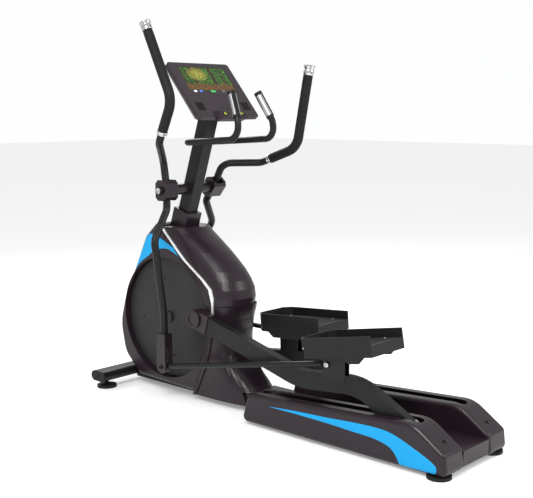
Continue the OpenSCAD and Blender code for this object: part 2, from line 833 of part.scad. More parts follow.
module drive_belt() {
    r1 = big_pulley_r + gap;
    r2 = small_pulley_r + gap;
    x0 = belt_x - belt_w / 2 + 1;
    color("#111111")
        difference() {
            plate(belt_outline(crank_c, r1 + belt_t, flywheel_c, r2 + belt_t), x0,
                x0 + belt_w - 2);
            plate(belt_outline(crank_c, r1, flywheel_c, r2), x0 - 1, x0 + belt_w);
        }
}

flywheel_half_t = 16;

module flywheel() {
    color("#8a8a8a")
        difference() {
            bar(flywheel_c, -flywheel_half_t, flywheel_half_t, flywheel_r);
            for (s = [-1, 1])
                translate([s * (flywheel_half_t + 5), 0, 0])
                    tube_bar(flywheel_c, -flywheel_half_t, flywheel_half_t, flywheel_r - 24,
                        fly_shaft_r + 18);
            bar(flywheel_c, -50, 50, fly_shaft_r + press);
        }
}

module flywheel_axle() {
    color("gray")
        bar(flywheel_c, belt_x + belt_w / 2 + 3, side_plate_x + side_plate_t + 6, fly_shaft_r);
    color("#303030")
        bar(flywheel_c, belt_x - belt_w / 2, belt_x + belt_w / 2 + 3, small_pulley_r);
}

// A steel shoe that carries the brake magnets close to the flywheel's rim.
module magnet_brake() {
    rim = flywheel_r + 3;
    color("#b04030")
        translate([-flywheel_half_t, flywheel_y, flywheel_z])
            rotate([90, 0, 90])
                rotate_extrude(angle = 34, start = -56)
                    translate([rim, 0])
                        square([14, 2 * flywheel_half_t]);
    color("silver")
        both_sides()
            bar(flywheel_c + turned([0, rim + 7, 0], -36), flywheel_half_t, side_plate_x, 5);
}

// ---- console: its face is drawn flat, with x to the right, y up the face, z outwards ----
bezel_t = 16;
face_skin = 4;
pod_half_w = 80;
pod_top = 27;                    // the key panel stands this far out from the face
pod_profile = [[-12, -bezel_t], [-26, pod_top - 9], [-22, pod_top], [15, pod_top], [34, 0],
    [34, -bezel_t]];
back_z = -console_t;
socket_depth = 54;

module on_console() {
    translate(console_foot)
        rotate([90 - console_lean, 0, 0])
            children();
}

// A rectangle of width w with rounded corners between the heights v0 and v1.
module face_rect(w, v0, v1, r) {
    for (s = [-1, 1])
        for (v = [v0 + r, v1 - r])
            translate([s * (w / 2 - r), v])
                circle(r = r);
    translate([-w / 2, v0 + r])
        square([w, v1 - v0 - 2 * r]);
    translate([-w / 2 + r, v0])
        square([w - 2 * r, v1 - v0]);
}

module face_slab(w, v0, v1, r, z0, z1) {
    translate([0, 0, z0])
        linear_extrude(z1 - z0)
            face_rect(w, v0, v1, r);
}

module console_bezel() {
    grille_w = 44;
    color("#40363e")
        on_console()
            difference() {
                union() {
                    face_slab(console_w, 0, console_h, 14, -bezel_t, 0);
                    plate(pod_profile, -pod_half_w, pod_half_w);
                }
                face_slab(console_w - 8, 4, console_h - 4, 10, -bezel_t - 1, -face_skin);
                translate([-screen_w / 2 - gap, screen_v - screen_h / 2 - gap, -bezel_t])
                    cube([screen_w + 2 * gap, screen_h + 2 * gap, bezel_t + 1]);
                for (s = [-1, 1]) {
                    translate([s * key_u, key_v, -2 * bezel_t])
                        cylinder(h = 100, r = key_d / 2 + gap);
                    for (v = [44:5:84])
                        translate([s * 144 - grille_w / 2, v, -bezel_t])
                            cube([grille_w, 2.4, 2 * bezel_t]);
                }
            }
}

module console_back() {
    skin_top = -bezel_t - gap;
    color("#30282e")
        on_console()
            difference() {
                union() {
                    hull() {
                        face_slab(console_w, 0, console_h, 14, skin_top - 2, skin_top, $fn = hull_fn);
                        face_slab(console_w - 50, 22, console_h - 24, 16, back_z, back_z + 2,
                            $fn = hull_fn);
                    }
                    hull() {
                        face_slab(170, 30, 210, 14, back_z, back_z + 2, $fn = hull_fn);
                        face_slab(120, 60, 180, 10, back_z - socket_depth,
                            back_z - socket_depth + 2, $fn = hull_fn);
                    }
                }
                hull() {
                    face_slab(console_w - 6, 3, console_h - 3, 12, skin_top - 1, skin_top + 1,
                        $fn = hull_fn);
                    face_slab(console_w - 58, 26, console_h - 28, 14, back_z + 3, back_z + 4,
                        $fn = hull_fn);
                }
                rotate([console_lean - 90, 0, 0])
                    translate(-console_foot)
                        mast_prism(mast_w + 2 * gap, mast_d + 2 * gap, 1180, mast_top_z + gap);
            }
}

module console_screen() {
    color("#2f5d2a")
        on_console()
            translate([-screen_w / 2, screen_v - screen_h / 2, -8])
                cube([screen_w, screen_h, 6.5]);
}

module console_key(side) {
    color("#b8c832")
        on_console()
            translate([side * key_u, key_v, pod_top - 20])
                cylinder(h = 20 + key_stand, r = key_d / 2);
}

// ---- pulse bar ----
pulse_bore_r = pulse_d / 2;
sleeve_r = pulse_bore_r + 3;
grip_dir = unit(pulse_route[1] - pulse_route[0]);
grip_len = 122;

module pulse_bar() {
    color("#1b1b1b")
        sweep(rounded_route(pulse_route, pulse_bends, 7), pulse_bore_r, pulse_bore_r - tube_wall, 20);
}

module pulse_grips() {
    color("#101010")
        both_sides()
            aimed(pulse_route[0], grip_dir)
                difference() {
                    translate([0, 0, -6])
                        cylinder(h = grip_len + 6, r = sleeve_r);
                    translate([0, 0, -0.3])
                        cylinder(h = grip_len + 6, r = pulse_bore_r + fit);
                }
}

module pulse_plates() {
    color("#e4e4e4")
        both_sides()
            aimed(pulse_route[0], grip_dir)
                for (a = [-145, 35])
                    translate([0, 0, 10])
                        rotate_extrude(angle = 110, start = a)
                            translate([sleeve_r + 0.05, 0])
                                square([1.2, grip_len - 20]);
}

// ---- pedal arms, drawn in the left arm's pose ----
arm_points = [left_pin, left_roller + [0, 540, 94], left_roller + [0, 230, 121], left_roller];
arm_bends = [300, 240];
boot_r = 42;
boot_x1 = arm_x + 29;
pin_head_r = 15;
arm_eye_r = 32;
arm_boss_r = 22;
roller_bore_r = roller_axle_d / 2 + fit;

module pedal_arm(side) {
    path = rounded_route(arm_points, arm_bends, 7);
    half = arm_w / 2;
    hollow = arm_h / 2 - tube_wall;
    color("#202020")
        on_arm(side) {
            difference() {
                plate(band(path, arm_h / 2), arm_x - half, arm_x + half);
                plate(band(path, hollow), arm_x - half + tube_wall, arm_x + half - tube_wall);
                bar(left_pin, arm_x - arm_w, arm_x + arm_w, arm_eye_r);
                bar(left_roller, arm_x - arm_w, arm_x + arm_w, arm_boss_r);
            }
            tube_bar(left_pin, arm_x - half, arm_x + half, arm_eye_r, pin_r + press);
            tube_bar(left_roller, arm_x - half, arm_x + half, arm_boss_r, roller_bore_r);
        }
}

module crank_boot(side) {
    path = [left_pin, arm_points[1]];
    start = unit(path[1] - path[0]);
    neck = [left_pin, left_pin + start * 82];
    half = arm_w / 2;
    color("#2b2129")
        on_arm(side)
            difference() {
                union() {
                    bar(left_pin, boot_x0, boot_x1, boot_r);
                    tube_bar(left_pin, boot_x1 - 1, boot_x1 + 4, boot_r - 2, boot_r - 12);
                    plate(band(neck, arm_h / 2 + 5), arm_x - half - 4, arm_x + half + 4);
                }
                bar(left_pin, arm_x - half - gap, arm_x + half + gap, boot_r - 3);
                plate(band([left_pin, left_pin + start * 100], arm_h / 2 + gap),
                    arm_x - half - gap, arm_x + half + gap);
                bar(left_pin, 0, boot_x1 - 3, pin_head_r + 1);
            }
}

module crank_pin(side) {
    color("silver")
        on_arm(side) {
            bar(left_pin, pin_end_x, arm_x + arm_w / 2 + 4, pin_r);
            bar(left_pin, arm_x + arm_w / 2 + 0.2, arm_x + arm_w / 2 + 5, pin_head_r);
        }
}

module roller_axle(side) {
    reach = roller_off + roller_w / 2 + 2;
    color("gray")
        on_arm(side)
            bar(left_roller, arm_x - reach, arm_x + reach, roller_axle_d / 2);
}

module rollers(side) {
    color("#d8d8d0")
        on_arm(side)
            for (s = [-1, 1])
                tube_bar(left_roller, arm_x + s * roller_off - roller_w / 2,
                    arm_x + s * roller_off + roller_w / 2, roller_r - 0.5, roller_bore_r);
}

// ---- pedals: drawn with the middle of the tray's floor at the origin ----
tray_lean = 10.3;                // the heel of the left tray is raised by this angle
tray_turn = 8.1;                 // each tray can turn toe-up by this angle on its bracket
tray_mid = left_roller + [0, 286.6, 289.6];
tray_floor_t = 4;
tray_skirt = 46;                 // depth of the skirt below the top of the floor
tray_deep = 70;                  // its depth in the middle
tray_wall_t = 5;
skirt_step = 30;
hinge_c = [0, -50, -16];         // the pin that each tray turns on
hinge_r = 6;
hinge_boss_r = 12;
ear_r = 10;
ear_x = 28;                      // inner faces of the bracket's two ears
ear_t = 6;
bracket_t = 6;
lug_x0 = eye_x + rod_d / 2 + 1;
bracket_base_z = -36;
bracket_rear = -95;
bracket_front = 128;
bracket_step = 50;               // in front of this the base plate leaves room for the link rod
bracket_half = 60;

module on_seat(side) {
    on_arm(side)
        translate([arm_x, tray_mid[1], tray_mid[2]])
            rotate([-tray_lean, 0, 0])
                children();
}

// The left tray lies level on its bracket, and the right one is turned toe-up.
module on_tray(side) {
    on_seat(side)
        translate(hinge_c)
            rotate([side < 0 ? 0 : tray_turn, 0, 0])
                translate(-hinge_c)
                    children();
}

function tray_outline(d) =
    let (w = tray_w / 2 - d, l = tray_len / 2 - d, c = 34)
    [[-w, -l], [w, -l], [w, l - c], [w - c * 0.8, l], [-w + c * 0.8, l], [-w, l - c]];

module tray_slab(d, z0, z1) {
    translate([0, 0, z0])
        linear_extrude(z1 - z0)
            polygon(tray_outline(d));
}

// Removes the deep part of the skirt between x0 and x1, except between the points y0 and y1.
module skirt_cut(x0, x1, y0, y1) {
    far = tray_len;
    z = -tray_deep - 1;
    plate([[y1, z], [far, z], [far, -tray_skirt], [y1 + skirt_step, -tray_skirt]], x0, x1);
    plate([[-far, z], [y0, z], [y0 - skirt_step, -tray_skirt], [-far, -tray_skirt]], x0, x1);
}

// The tray is open at the heel, and its toe wall has a notch that the link rod passes through.
module pedal_tray(side) {
    l = tray_len / 2;
    color("#1d1d1d")
        on_tray(side)
            difference() {
                union() {
                    difference() {
                        tray_slab(0, -tray_deep, tray_wall_h);
                        tray_slab(tray_wall_t, 0, tray_wall_h + 1);
                        tray_slab(tray_wall_t, -tray_deep - 1, -tray_floor_t);
                        skirt_cut(-tray_w, 0, -l * 0.62, l * 0.46);
                        skirt_cut(0, tray_w, -l * 0.62, -l * 0.36);
                    }
                    for (x = [hinge_boss_r - 2, -ear_x + 0.5]) {
                        bar(hinge_c, x, x + ear_x - hinge_boss_r + 1.5, hinge_boss_r);
                        translate([x, hinge_c[1] - hinge_boss_r, hinge_c[2]])
                            cube([ear_x - hinge_boss_r + 1.5, 2 * hinge_boss_r, -hinge_c[2] - 1]);
                    }
                }
                bar(hinge_c, -ear_x, ear_x, hinge_r + fit);
                translate([-tray_w / 2 + tray_wall_t, -l - 1, 0])
                    cube([tray_w - 2 * tray_wall_t, l, tray_wall_h + 1]);
                translate([eye_x - arm_x - 26, l - tray_wall_t - 35, -tray_deep - 1])
                    cube([54, 60, tray_deep + 1 - tray_floor_t]);
                for (s = [-1, 1])
                    for (v = [-1, 1])
                        translate([s * (tray_w / 2 - 40), v * (l - 60), -tray_skirt])
                            cylinder(h = 2 * tray_skirt, r = 3);
            }
}

module pedal_bracket(side) {
    half = arm_w / 2;
    path = rounded_route(arm_points, arm_bends, 7);
    y0 = tray_mid[1] + 15;
    y1 = tray_mid[1] + 118;
    base_z = tray_mid[2] + bracket_base_z;
    slope = tan(tray_lean);
    web = [[y0, left_roller[2] + 90], [y1, left_roller[2] + 80],
        [y1, base_z - (y1 - tray_mid[1]) * slope + 3], [y0, base_z - (y0 - tray_mid[1]) * slope + 3]];
    lug = [[left_bolt[1] - 84, left_bolt[2] + 62], [left_bolt[1] - 84, left_bolt[2] - 56],
        [left_bolt[1] + 22, left_bolt[2] - 56], [left_bolt[1] + 22, left_bolt[2] + 42]];
    color("#1a1a1a") {
        on_arm(side) {
            difference() {
                for (x = [arm_x - half, arm_x + half - bracket_t])
                    plate(web, x, x + bracket_t);
                plate(band(path, arm_h / 2), 0, 2 * arm_x);
            }
            plate(lug, lug_x0, lug_x0 + bracket_t);
            bar(left_bolt, eye_x - 11, lug_x0, stud_r);
            bar(left_bolt, lug_x0 + bracket_t, lug_x0 + 2 * bracket_t, 11);
        }
        on_seat(side) {
            translate([-bracket_half, bracket_rear, bracket_base_z])
                cube([lug_x0 + bracket_t - arm_x + bracket_half, bracket_step - bracket_rear,
                    bracket_t]);
            translate([-bracket_half, bracket_rear, bracket_base_z])
                cube([bracket_half + eye_x - rod_d - arm_x - 4, bracket_front - bracket_rear,
                    bracket_t]);
            for (x = [-ear_x - ear_t, ear_x]) {
                bar(hinge_c, x, x + ear_t, ear_r);
                translate([x, hinge_c[1] - ear_r, bracket_base_z])
                    cube([ear_t, 2 * ear_r, hinge_c[2] - bracket_base_z]);
            }
            bar(hinge_c, -ear_x - ear_t, ear_x + ear_t, hinge_r);
        }
    }
}

// ---- link rods ----
bush_r = 11;
eye_t = 16;
stud_r = 7;
rod_eye_r = 17;
front_eye_r = 14;
fork_t = 12;                     // thickness of the flat ends of a rod

module rod_bush(side) {
    color("silver")
        on_rod(side)
            tube_bar([0, 0, 0], eye_x - eye_t / 2, eye_x + eye_t / 2, bush_r, stud_r + fit);
}

module link_rod(side) {
    flat = 46;                   // the flat ends reach this far from the eyes
    color("#202020")
        on_rod(side) {
            tube_bar([0, 0, 0], eye_x - eye_t / 2 + 1, eye_x + eye_t / 2 - 1, rod_eye_r,
                bush_r + fit);
            translate([eye_x - fork_t / 2, bush_r + 3, -9])
                cube([fork_t, flat - bush_r - 3, 18]);
            translate([eye_x, flat - 8, 0])
                rotate([-90, 0, 0])
                    cylinder(h = rod_len - 2 * flat + 16, r = rod_d / 2);
            translate([eye_x - fork_t / 2, rod_len - flat, -9])
                cube([fork_t, flat, 18]);
            bar([0, rod_len, 0], eye_x - fork_t / 2, eye_x + fork_t / 2, front_eye_r);
        }
}

// ---- swinging handles, drawn in the left handle's pose ----
upper = [for (p = upper_route) pivot + p];
lower = [for (p = lower_route) pivot + p];
grip_start = upper[2] + (upper[3] - upper[2]) * foam_start;
foam_route = [grip_start, upper[3], upper[4] - 24 * unit(upper[4] - upper[3])];
tip_dir = unit(upper[4] - upper[3]);
collar_dir = unit(upper[3] - upper[2]);
foam_r = handle_r + foam_t;
sleeve_ro = 21;
hub_d = 72;
hub_h = 96;

module swing_arm(side) {
    color("#1e1e1e")
        on_swing(side)
            difference() {
                union() {
                    sweep(rounded_route(upper, upper_bends, 7), handle_r, 0, 16);
                    sweep(rounded_route(lower, lower_bends, 7), handle_r, 0, 16);
                    bar(pivot, hub_x - hub_w / 2, hub_x + hub_w / 2, sleeve_ro);
                }
                bar(pivot, 0, 400, pivot_d / 2 + fit);
            }
}

module swing_hub(side) {
    wall = 3;
    x0 = hub_x - hub_w / 2 + 1;
    color("#2e242c")
        on_swing(side)
            difference() {
                plate(hub_outline(0), x0, x0 + hub_w - 2);
                plate(hub_outline(wall), x0 + wall, x0 + hub_w - 2 - wall);
                translate([hub_x - handle_r - 6, pivot_y - handle_r - 7, pivot_z - hub_w])
                    cube([handle_d + 13, handle_d + 20, 2 * hub_w]);
                bar(pivot, 0, 400, sleeve_ro + fit);
            }
}

// The hub's side outline, an octagon, moved inwards by d.
function hub_outline(d) =
    let (a = hub_d / 2 - d, b = hub_h / 2 - d, c = 16)
    [for (p = [[-a, -b + c], [-a + c, -b], [a - c, -b], [a, -b + c], [a, b - c], [a - c, b],
        [-a + c, b], [-a, b - c]]) [pivot_y + p[0], pivot_z + p[1]]];

module foam_grip(side) {
    color("#0f0f0f")
        on_swing(side)
            sweep(rounded_route(foam_route, [upper_bends[2]], 7), foam_r, handle_r + 0.1, 16);
}

module grip_fittings(side) {
    color("#e8e8e8")
        on_swing(side) {
            aimed(grip_start - 20 * collar_dir, collar_dir)
                difference() {
                    cylinder(h = 19.6, r = foam_r + 2);
                    translate([0, 0, -1])
                        cylinder(h = 30, r = handle_r + 0.1);
                }
            aimed(upper[4] - 23.6 * tip_dir, tip_dir)
                difference() {
                    union() {
                        cylinder(h = 30, r = foam_r + 1.5);
                        translate([0, 0, 16])
                            cylinder(h = 18, r1 = foam_r + 1.5, r2 = foam_r + 5);
                    }
                    translate([0, 0, -1])
                        cylinder(h = 24.7, r = handle_r + 0.1);
                    translate([-60, 0, 52])
                        rotate([0, 90, 0])
                            cylinder(h = 120, r = 26);
                }
        }
}

// ---- clevis at the foot of each handle ----
clevis_gap = 26;
clevis_t = 10;

// Two cheeks on either side of the rod's eye, and a block that holds the handle's tube.
module rod_clevis(side) {
    reach = (left_eye - lower[4]) * -1.35;
    top = left_eye + reach;
    x0 = eye_x - clevis_gap / 2 - clevis_t;
    x1 = x0 + clevis_gap + 2 * clevis_t;
    cheek = concat(
        [for (a = [-180:15:0]) [left_eye[1] + clevis_r * cos(a), left_eye[2] + clevis_r * sin(a)]],
        [[top[1] + clevis_half, top[2]], [top[1] - clevis_half, top[2]]]
    );
    color("#2e242c")
        on_swing(side) {
            difference() {
                union() {
                    plate(cheek, x0, x0 + clevis_t);
                    plate(cheek, x1 - clevis_t, x1);
                    translate([x0 + 1, top[1] - clevis_half, lower[4][2] - 24])
                        cube([x1 - x0 - 2, 2 * clevis_half, top[2] - lower[4][2] + 24]);
                }
                sweep(rounded_route(lower, lower_bends, 7), handle_r + 0.1, 0, 16);
            }
            for (x = [x0 - 4, x1])
                bar(left_eye, x, x + 4, 11);
        }
}

centred() base_frame();
centred() front_stabilizer();
centred() stabilizer_end_caps();
centred() levelling_feet();
centred() roller_tracks();
centred() rail_cover(-1);  // left_rail_cover
centred() rail_cover(1);  // right_rail_cover
centred() middle_cover();
centred() left_side_shell();
centred() right_side_shell();
centred() rear_hood();
centred() lower_rear_cover();
centred() mast_boot();
centred() silver_trims();
centred() mast();
centred() swing_axle();
centred() bearings();
centred() crank_axle();
centred() crank_pulley();
centred() crank_discs();
centred() drive_belt();
centred() flywheel();
centred() flywheel_axle();
centred() magnet_brake();
centred() console_back();
centred() console_bezel();
centred() console_screen();
centred() console_key(-1);  // left_key
centred() console_key(1);  // right_key
centred() pulse_bar();
centred() pulse_grips();
centred() pulse_plates();
centred() pedal_arm(-1);  // left_pedal_arm
centred() pedal_arm(1);  // right_pedal_arm
centred() crank_boot(-1);  // left_crank_boot
centred() crank_boot(1);  // right_crank_boot
centred() crank_pin(-1);  // left_crank_pin
centred() crank_pin(1);  // right_crank_pin
centred() pedal_bracket(-1);  // left_pedal_bracket
centred() pedal_bracket(1);  // right_pedal_bracket
centred() pedal_tray(-1);  // left_pedal_tray
centred() pedal_tray(1);  // right_pedal_tray
centred() roller_axle(-1);  // left_roller_axle
centred() roller_axle(1);  // right_roller_axle
centred() rollers(-1);  // left_rollers
centred() rollers(1);  // right_rollers
centred() rod_bush(-1);  // left_rod_bush
centred() rod_bush(1);  // right_rod_bush
centred() link_rod(-1);  // left_link_rod
centred() link_rod(1);  // right_link_rod
centred() swing_arm(-1);  // left_swing_arm
centred() swing_arm(1);  // right_swing_arm
centred() swing_hub(-1);  // left_swing_hub
centred() swing_hub(1);  // right_swing_hub
centred() foam_grip(-1);  // left_foam_grip
centred() foam_grip(1);  // right_foam_grip
centred() grip_fittings(-1);  // left_grip_fittings
centred() grip_fittings(1);  // right_grip_fittings
centred() rod_clevis(-1);  // left_rod_clevis
centred() rod_clevis(1);  // right_rod_clevis
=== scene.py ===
# %% [markdown]
# # An elliptical trainer, dressed for a portrait
# The CAD model gives every steel and plastic part its true place. This lesson adds what a
# CAD model lacks: paint that shows its grain, soft foam, screws, decals and a screen.
# Everything is in metres, with x to the user's right, y forward and z up. Angles are written in
# degrees, and turned to radians where Blender needs them.

# %% Load the frame
import json
import math
import bpy
import bmesh
from mathutils import Matrix, Vector
from mathutils.bvhtree import BVHTree
from mathutils.geometry import delaunay_2d_cdt


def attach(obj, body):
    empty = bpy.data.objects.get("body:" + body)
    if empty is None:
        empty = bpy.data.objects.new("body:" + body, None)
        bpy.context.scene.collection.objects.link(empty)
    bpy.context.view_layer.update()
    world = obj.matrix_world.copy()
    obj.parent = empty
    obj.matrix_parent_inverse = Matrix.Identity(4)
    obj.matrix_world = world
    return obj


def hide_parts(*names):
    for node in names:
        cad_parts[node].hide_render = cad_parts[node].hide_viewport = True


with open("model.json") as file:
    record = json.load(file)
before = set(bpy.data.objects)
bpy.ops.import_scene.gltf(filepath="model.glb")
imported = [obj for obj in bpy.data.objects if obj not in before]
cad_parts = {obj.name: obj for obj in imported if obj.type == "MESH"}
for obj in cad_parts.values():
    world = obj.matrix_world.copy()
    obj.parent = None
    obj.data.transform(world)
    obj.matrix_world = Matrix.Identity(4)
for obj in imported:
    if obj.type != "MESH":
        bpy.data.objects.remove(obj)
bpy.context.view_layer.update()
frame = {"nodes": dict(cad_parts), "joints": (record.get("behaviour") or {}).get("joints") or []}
nodes = frame["nodes"]
print("CAD nodes:", len(nodes))

# %% [markdown]
# A long lens from the rear left shows the pedals, the drive housing and the console at once.
# The camera comes first, so that every later choice can be judged through it.

# %% Camera
focal_length = 66.6
looks_down, heading = 8.18, 42.25 - 90
lens = bpy.data.cameras.new("portrait_lens")
lens.lens = focal_length
camera = bpy.data.objects.new("camera", lens)
camera.location = (-3.2214, -2.8800, 1.365)
camera.rotation_euler = (math.radians(90 - looks_down), 0, math.radians(heading))
bpy.context.scene.collection.objects.link(camera)
bpy.context.scene.camera = camera
print("camera looks along", camera.rotation_euler.to_matrix() @ Vector((0, 0, -1)))

# %% [markdown]
# Black gloss shows only what it reflects, so the studio matters more than the paint. A pale
# world and a pale floor give soft grey reflections, and two large lamps draw the highlights.

# %% Studio
def lamp(name, place, aim, size, watts):
    light = bpy.data.lights.new(name, "AREA")
    light.shape, light.size, light.energy = "DISK", size, watts
    piece = bpy.data.objects.new(name, light)
    piece.location = place
    piece.rotation_euler = (Vector(aim) - Vector(place)).to_track_quat("-Z", "Y").to_euler()
    bpy.context.scene.collection.objects.link(piece)

lamp("key_lamp", (-3.0, -1.2, 3.6), (0, 0, 0.6), 2.4, 170)
lamp("fill_lamp", (1.8, -3.6, 2.4), (0, 0, 0.7), 2.6, 70)
lamp("rim_lamp", (1.6, 3.0, 3.2), (0, 0, 0.8), 2.2, 90)

world_light, world_seen = 0.80, 1.04    # strength as a light, and as the camera sees it
world = bpy.data.worlds.new("pale_studio")
world.use_nodes = True
sky = world.node_tree
backdrop = sky.nodes["Background"]
backdrop.inputs["Color"].default_value = (0.95, 0.955, 0.96, 1)
light_path = sky.nodes.new("ShaderNodeLightPath")
strength = sky.nodes.new("ShaderNodeMapRange")
strength.inputs["To Min"].default_value = world_light
strength.inputs["To Max"].default_value = world_seen
sky.links.new(light_path.outputs["Is Camera Ray"], strength.inputs["Value"])
sky.links.new(strength.outputs["Result"], backdrop.inputs["Strength"])
bpy.context.scene.world = world
bpy.context.scene.view_settings.view_transform = "Standard"

# %% [markdown]
# Materials share three effects. Each is a node group that puts out a normal, a roughness or a
# colour, and the Principled shader stays in the material. The first is the fine ripple of
# sprayed or moulded surfaces.

# %% Shared effect: fine grain
def group(name, ins, outs):
    tree = bpy.data.node_groups.new(name, "ShaderNodeTree")
    for label, kind, value in ins:
        socket = tree.interface.new_socket(label, in_out="INPUT", socket_type=kind)
        socket.default_value = value
    for label, kind in outs:
        tree.interface.new_socket(label, in_out="OUTPUT", socket_type=kind)
    return tree, tree.nodes.new("NodeGroupInput"), tree.nodes.new("NodeGroupOutput")

def math_node(tree, operation, a, b, clamp=False):
    n = tree.nodes.new("ShaderNodeMath")
    n.operation, n.use_clamp = operation, clamp
    for socket, v in zip(n.inputs, (a, b)):
        if isinstance(v, (int, float)):
            socket.default_value = v
        else:
            tree.links.new(v, socket)
    return n.outputs[0]

def noise(tree, vector, scale, detail=3.0, roughness=0.5):
    n = tree.nodes.new("ShaderNodeTexNoise")
    n.inputs["Detail"].default_value = detail
    n.inputs["Roughness"].default_value = roughness
    if isinstance(scale, (int, float)):
        n.inputs["Scale"].default_value = scale
    else:
        tree.links.new(scale, n.inputs["Scale"])
    tree.links.new(vector, n.inputs["Vector"])
    return n.outputs["Fac"]

def object_coordinates(tree):
    return tree.nodes.new("ShaderNodeTexCoord").outputs["Object"]

grain, grain_in, grain_out = group("fine_grain", [("Scale", "NodeSocketFloat", 900.0),
    ("Height", "NodeSocketFloat", 0.0001), ("Strength", "NodeSocketFloat", 0.4)],
    [("Normal", "NodeSocketVector")])
ripple = noise(grain, object_coordinates(grain), grain_in.outputs["Scale"], 4.0, 0.6)
bump = grain.nodes.new("ShaderNodeBump")
grain.links.new(ripple, bump.inputs["Height"])
grain.links.new(grain_in.outputs["Height"], bump.inputs["Distance"])
grain.links.new(grain_in.outputs["Strength"], bump.inputs["Strength"])
grain.links.new(bump.outputs["Normal"], grain_out.inputs["Normal"])
print("groups:", [g.name for g in bpy.data.node_groups])

# %% [markdown]
# The second effect is handling. Gym machines dull in cloudy patches where hands and cloths
# pass, so a slow noise, stretched to a mask between two limits, moves the roughness.

# %% Shared effect: handling marks
marks, marks_in, marks_out = group("handling_marks", [("Scale", "NodeSocketFloat", 5.0),
    ("Low", "NodeSocketFloat", 0.3), ("High", "NodeSocketFloat", 0.4)],
    [("Roughness", "NodeSocketFloat")])
cloud_share, fine_share, fine_scale = 0.8, 0.2, 140.0
where = object_coordinates(marks)
cloud = noise(marks, where, marks_in.outputs["Scale"], 5.0, 0.62)
fine = noise(marks, where, fine_scale, 2.0, 0.5)
blend_mask = math_node(marks, "ADD", math_node(marks, "MULTIPLY", cloud, cloud_share),
    math_node(marks, "MULTIPLY", fine, fine_share), True)
spread = marks.nodes.new("ShaderNodeMapRange")
spread.inputs["From Min"].default_value = 0.32
spread.inputs["From Max"].default_value = 0.68
marks.links.new(blend_mask, spread.inputs["Value"])
marks.links.new(marks_in.outputs["Low"], spread.inputs["To Min"])
marks.links.new(marks_in.outputs["High"], spread.inputs["To Max"])
marks.links.new(spread.outputs["Result"], marks_out.inputs["Roughness"])
print("handling marks:", len(marks.nodes), "nodes")

# %% [markdown]
# The third effect varies the colour a little, from a base to a second shade. No moulding or
# casting is one exact colour from end to end.

# %% Shared effect: colour drift
drift, drift_in, drift_out = group("colour_drift",
    [("Base", "NodeSocketColor", (0.1, 0.1, 0.1, 1)),
        ("Shade", "NodeSocketColor", (0.2, 0.2, 0.2, 1)), ("Scale", "NodeSocketFloat", 9.0)],
    [("Color", "NodeSocketColor")])
patch = noise(drift, object_coordinates(drift), drift_in.outputs["Scale"], 6.0, 0.65)
MIX_FACTOR, MIX_A, MIX_B, MIX_RESULT = 0, 6, 7, 2    # sockets of a Mix node that mixes colours
mix = drift.nodes.new("ShaderNodeMix")
mix.data_type = "RGBA"
drift.links.new(patch, mix.inputs[MIX_FACTOR])
drift.links.new(drift_in.outputs["Base"], mix.inputs[MIX_A])
drift.links.new(drift_in.outputs["Shade"], mix.inputs[MIX_B])
drift.links.new(mix.outputs[MIX_RESULT], drift_out.inputs["Color"])
print("groups:", [g.name for g in bpy.data.node_groups])

# %% [markdown]
# Most finishes differ only in the numbers that they give these groups, so one helper builds
# the material, and each finish states its own colours, gloss and grain.

# %% Finish builder
def place(tree, made, **values):
    n = tree.nodes.new("ShaderNodeGroup")
    n.node_tree = made
    for label, v in values.items():
        n.inputs[label].default_value = v
    return n

def finish(name, base, shade, rough, grain_scale=900.0, grain_strength=0.3,
           grain_height=0.0001, metal=0.0, coat=0.0, marks_scale=5.0, drift_scale=9.0,
           specular=0.5):
    """A material between two colours and two roughnesses, (low, high), with a fine grain."""
    low, high = rough
    material = bpy.data.materials.new(name)
    material.use_nodes = True
    tree = material.node_tree
    shader = tree.nodes["Principled BSDF"]
    colours = place(tree, drift, Base=(*base, 1), Shade=(*shade, 1), Scale=drift_scale)
    handled = place(tree, marks, Scale=marks_scale, Low=low, High=high)
    relief = place(tree, grain, Scale=grain_scale, Height=grain_height,
        Strength=grain_strength)
    tree.links.new(colours.outputs["Color"], shader.inputs["Base Color"])
    tree.links.new(handled.outputs["Roughness"], shader.inputs["Roughness"])
    tree.links.new(relief.outputs["Normal"], shader.inputs["Normal"])
    shader.inputs["Metallic"].default_value = metal
    shader.inputs["Specular IOR Level"].default_value = specular
    shader.inputs["Coat Weight"].default_value = coat
    shader.inputs["Coat Roughness"].default_value = 0.08
    material.diffuse_color = (*base, 1)
    return material

print("shared effects:", [g.name for g in (drift, marks, grain)])

# %% [markdown]
# The large covers are moulded in a gloss plastic with a hint of aubergine, and the tubes wear a
# satin powder coat. They are nearly the same black, so only roughness and grain tell them apart.

# %% Black and dark finishes
gloss_cover = finish("gloss_aubergine_cover", (0.0125, 0.0068, 0.0102),
    (0.0165, 0.0096, 0.0138), rough=(0.26, 0.37), grain_scale=420, grain_strength=0.04,
    grain_height=0.0002, coat=0.04, specular=0.28)
joint_cover = finish("joint_cover_plastic", (0.012, 0.0068, 0.0096), (0.017, 0.0105, 0.0142),
    rough=(0.26, 0.38), grain_scale=700, grain_strength=0.12, coat=0.05, specular=0.3)
satin_black = finish("satin_powder_coat", (0.0045, 0.0045, 0.005), (0.0075, 0.0075, 0.008),
    rough=(0.36, 0.48), grain_scale=1300, grain_strength=0.22, marks_scale=7, specular=0.24)
frame_coat = finish("frame_powder_coat", (0.005, 0.005, 0.0055), (0.008, 0.008, 0.0085),
    rough=(0.44, 0.58), grain_scale=1100, grain_strength=0.3, specular=0.25)
disc_plastic = finish("disc_plastic", (0.0155, 0.015, 0.016), (0.020, 0.019, 0.0205),
    rough=(0.46, 0.58), grain_scale=1500, grain_strength=0.25, specular=0.25)
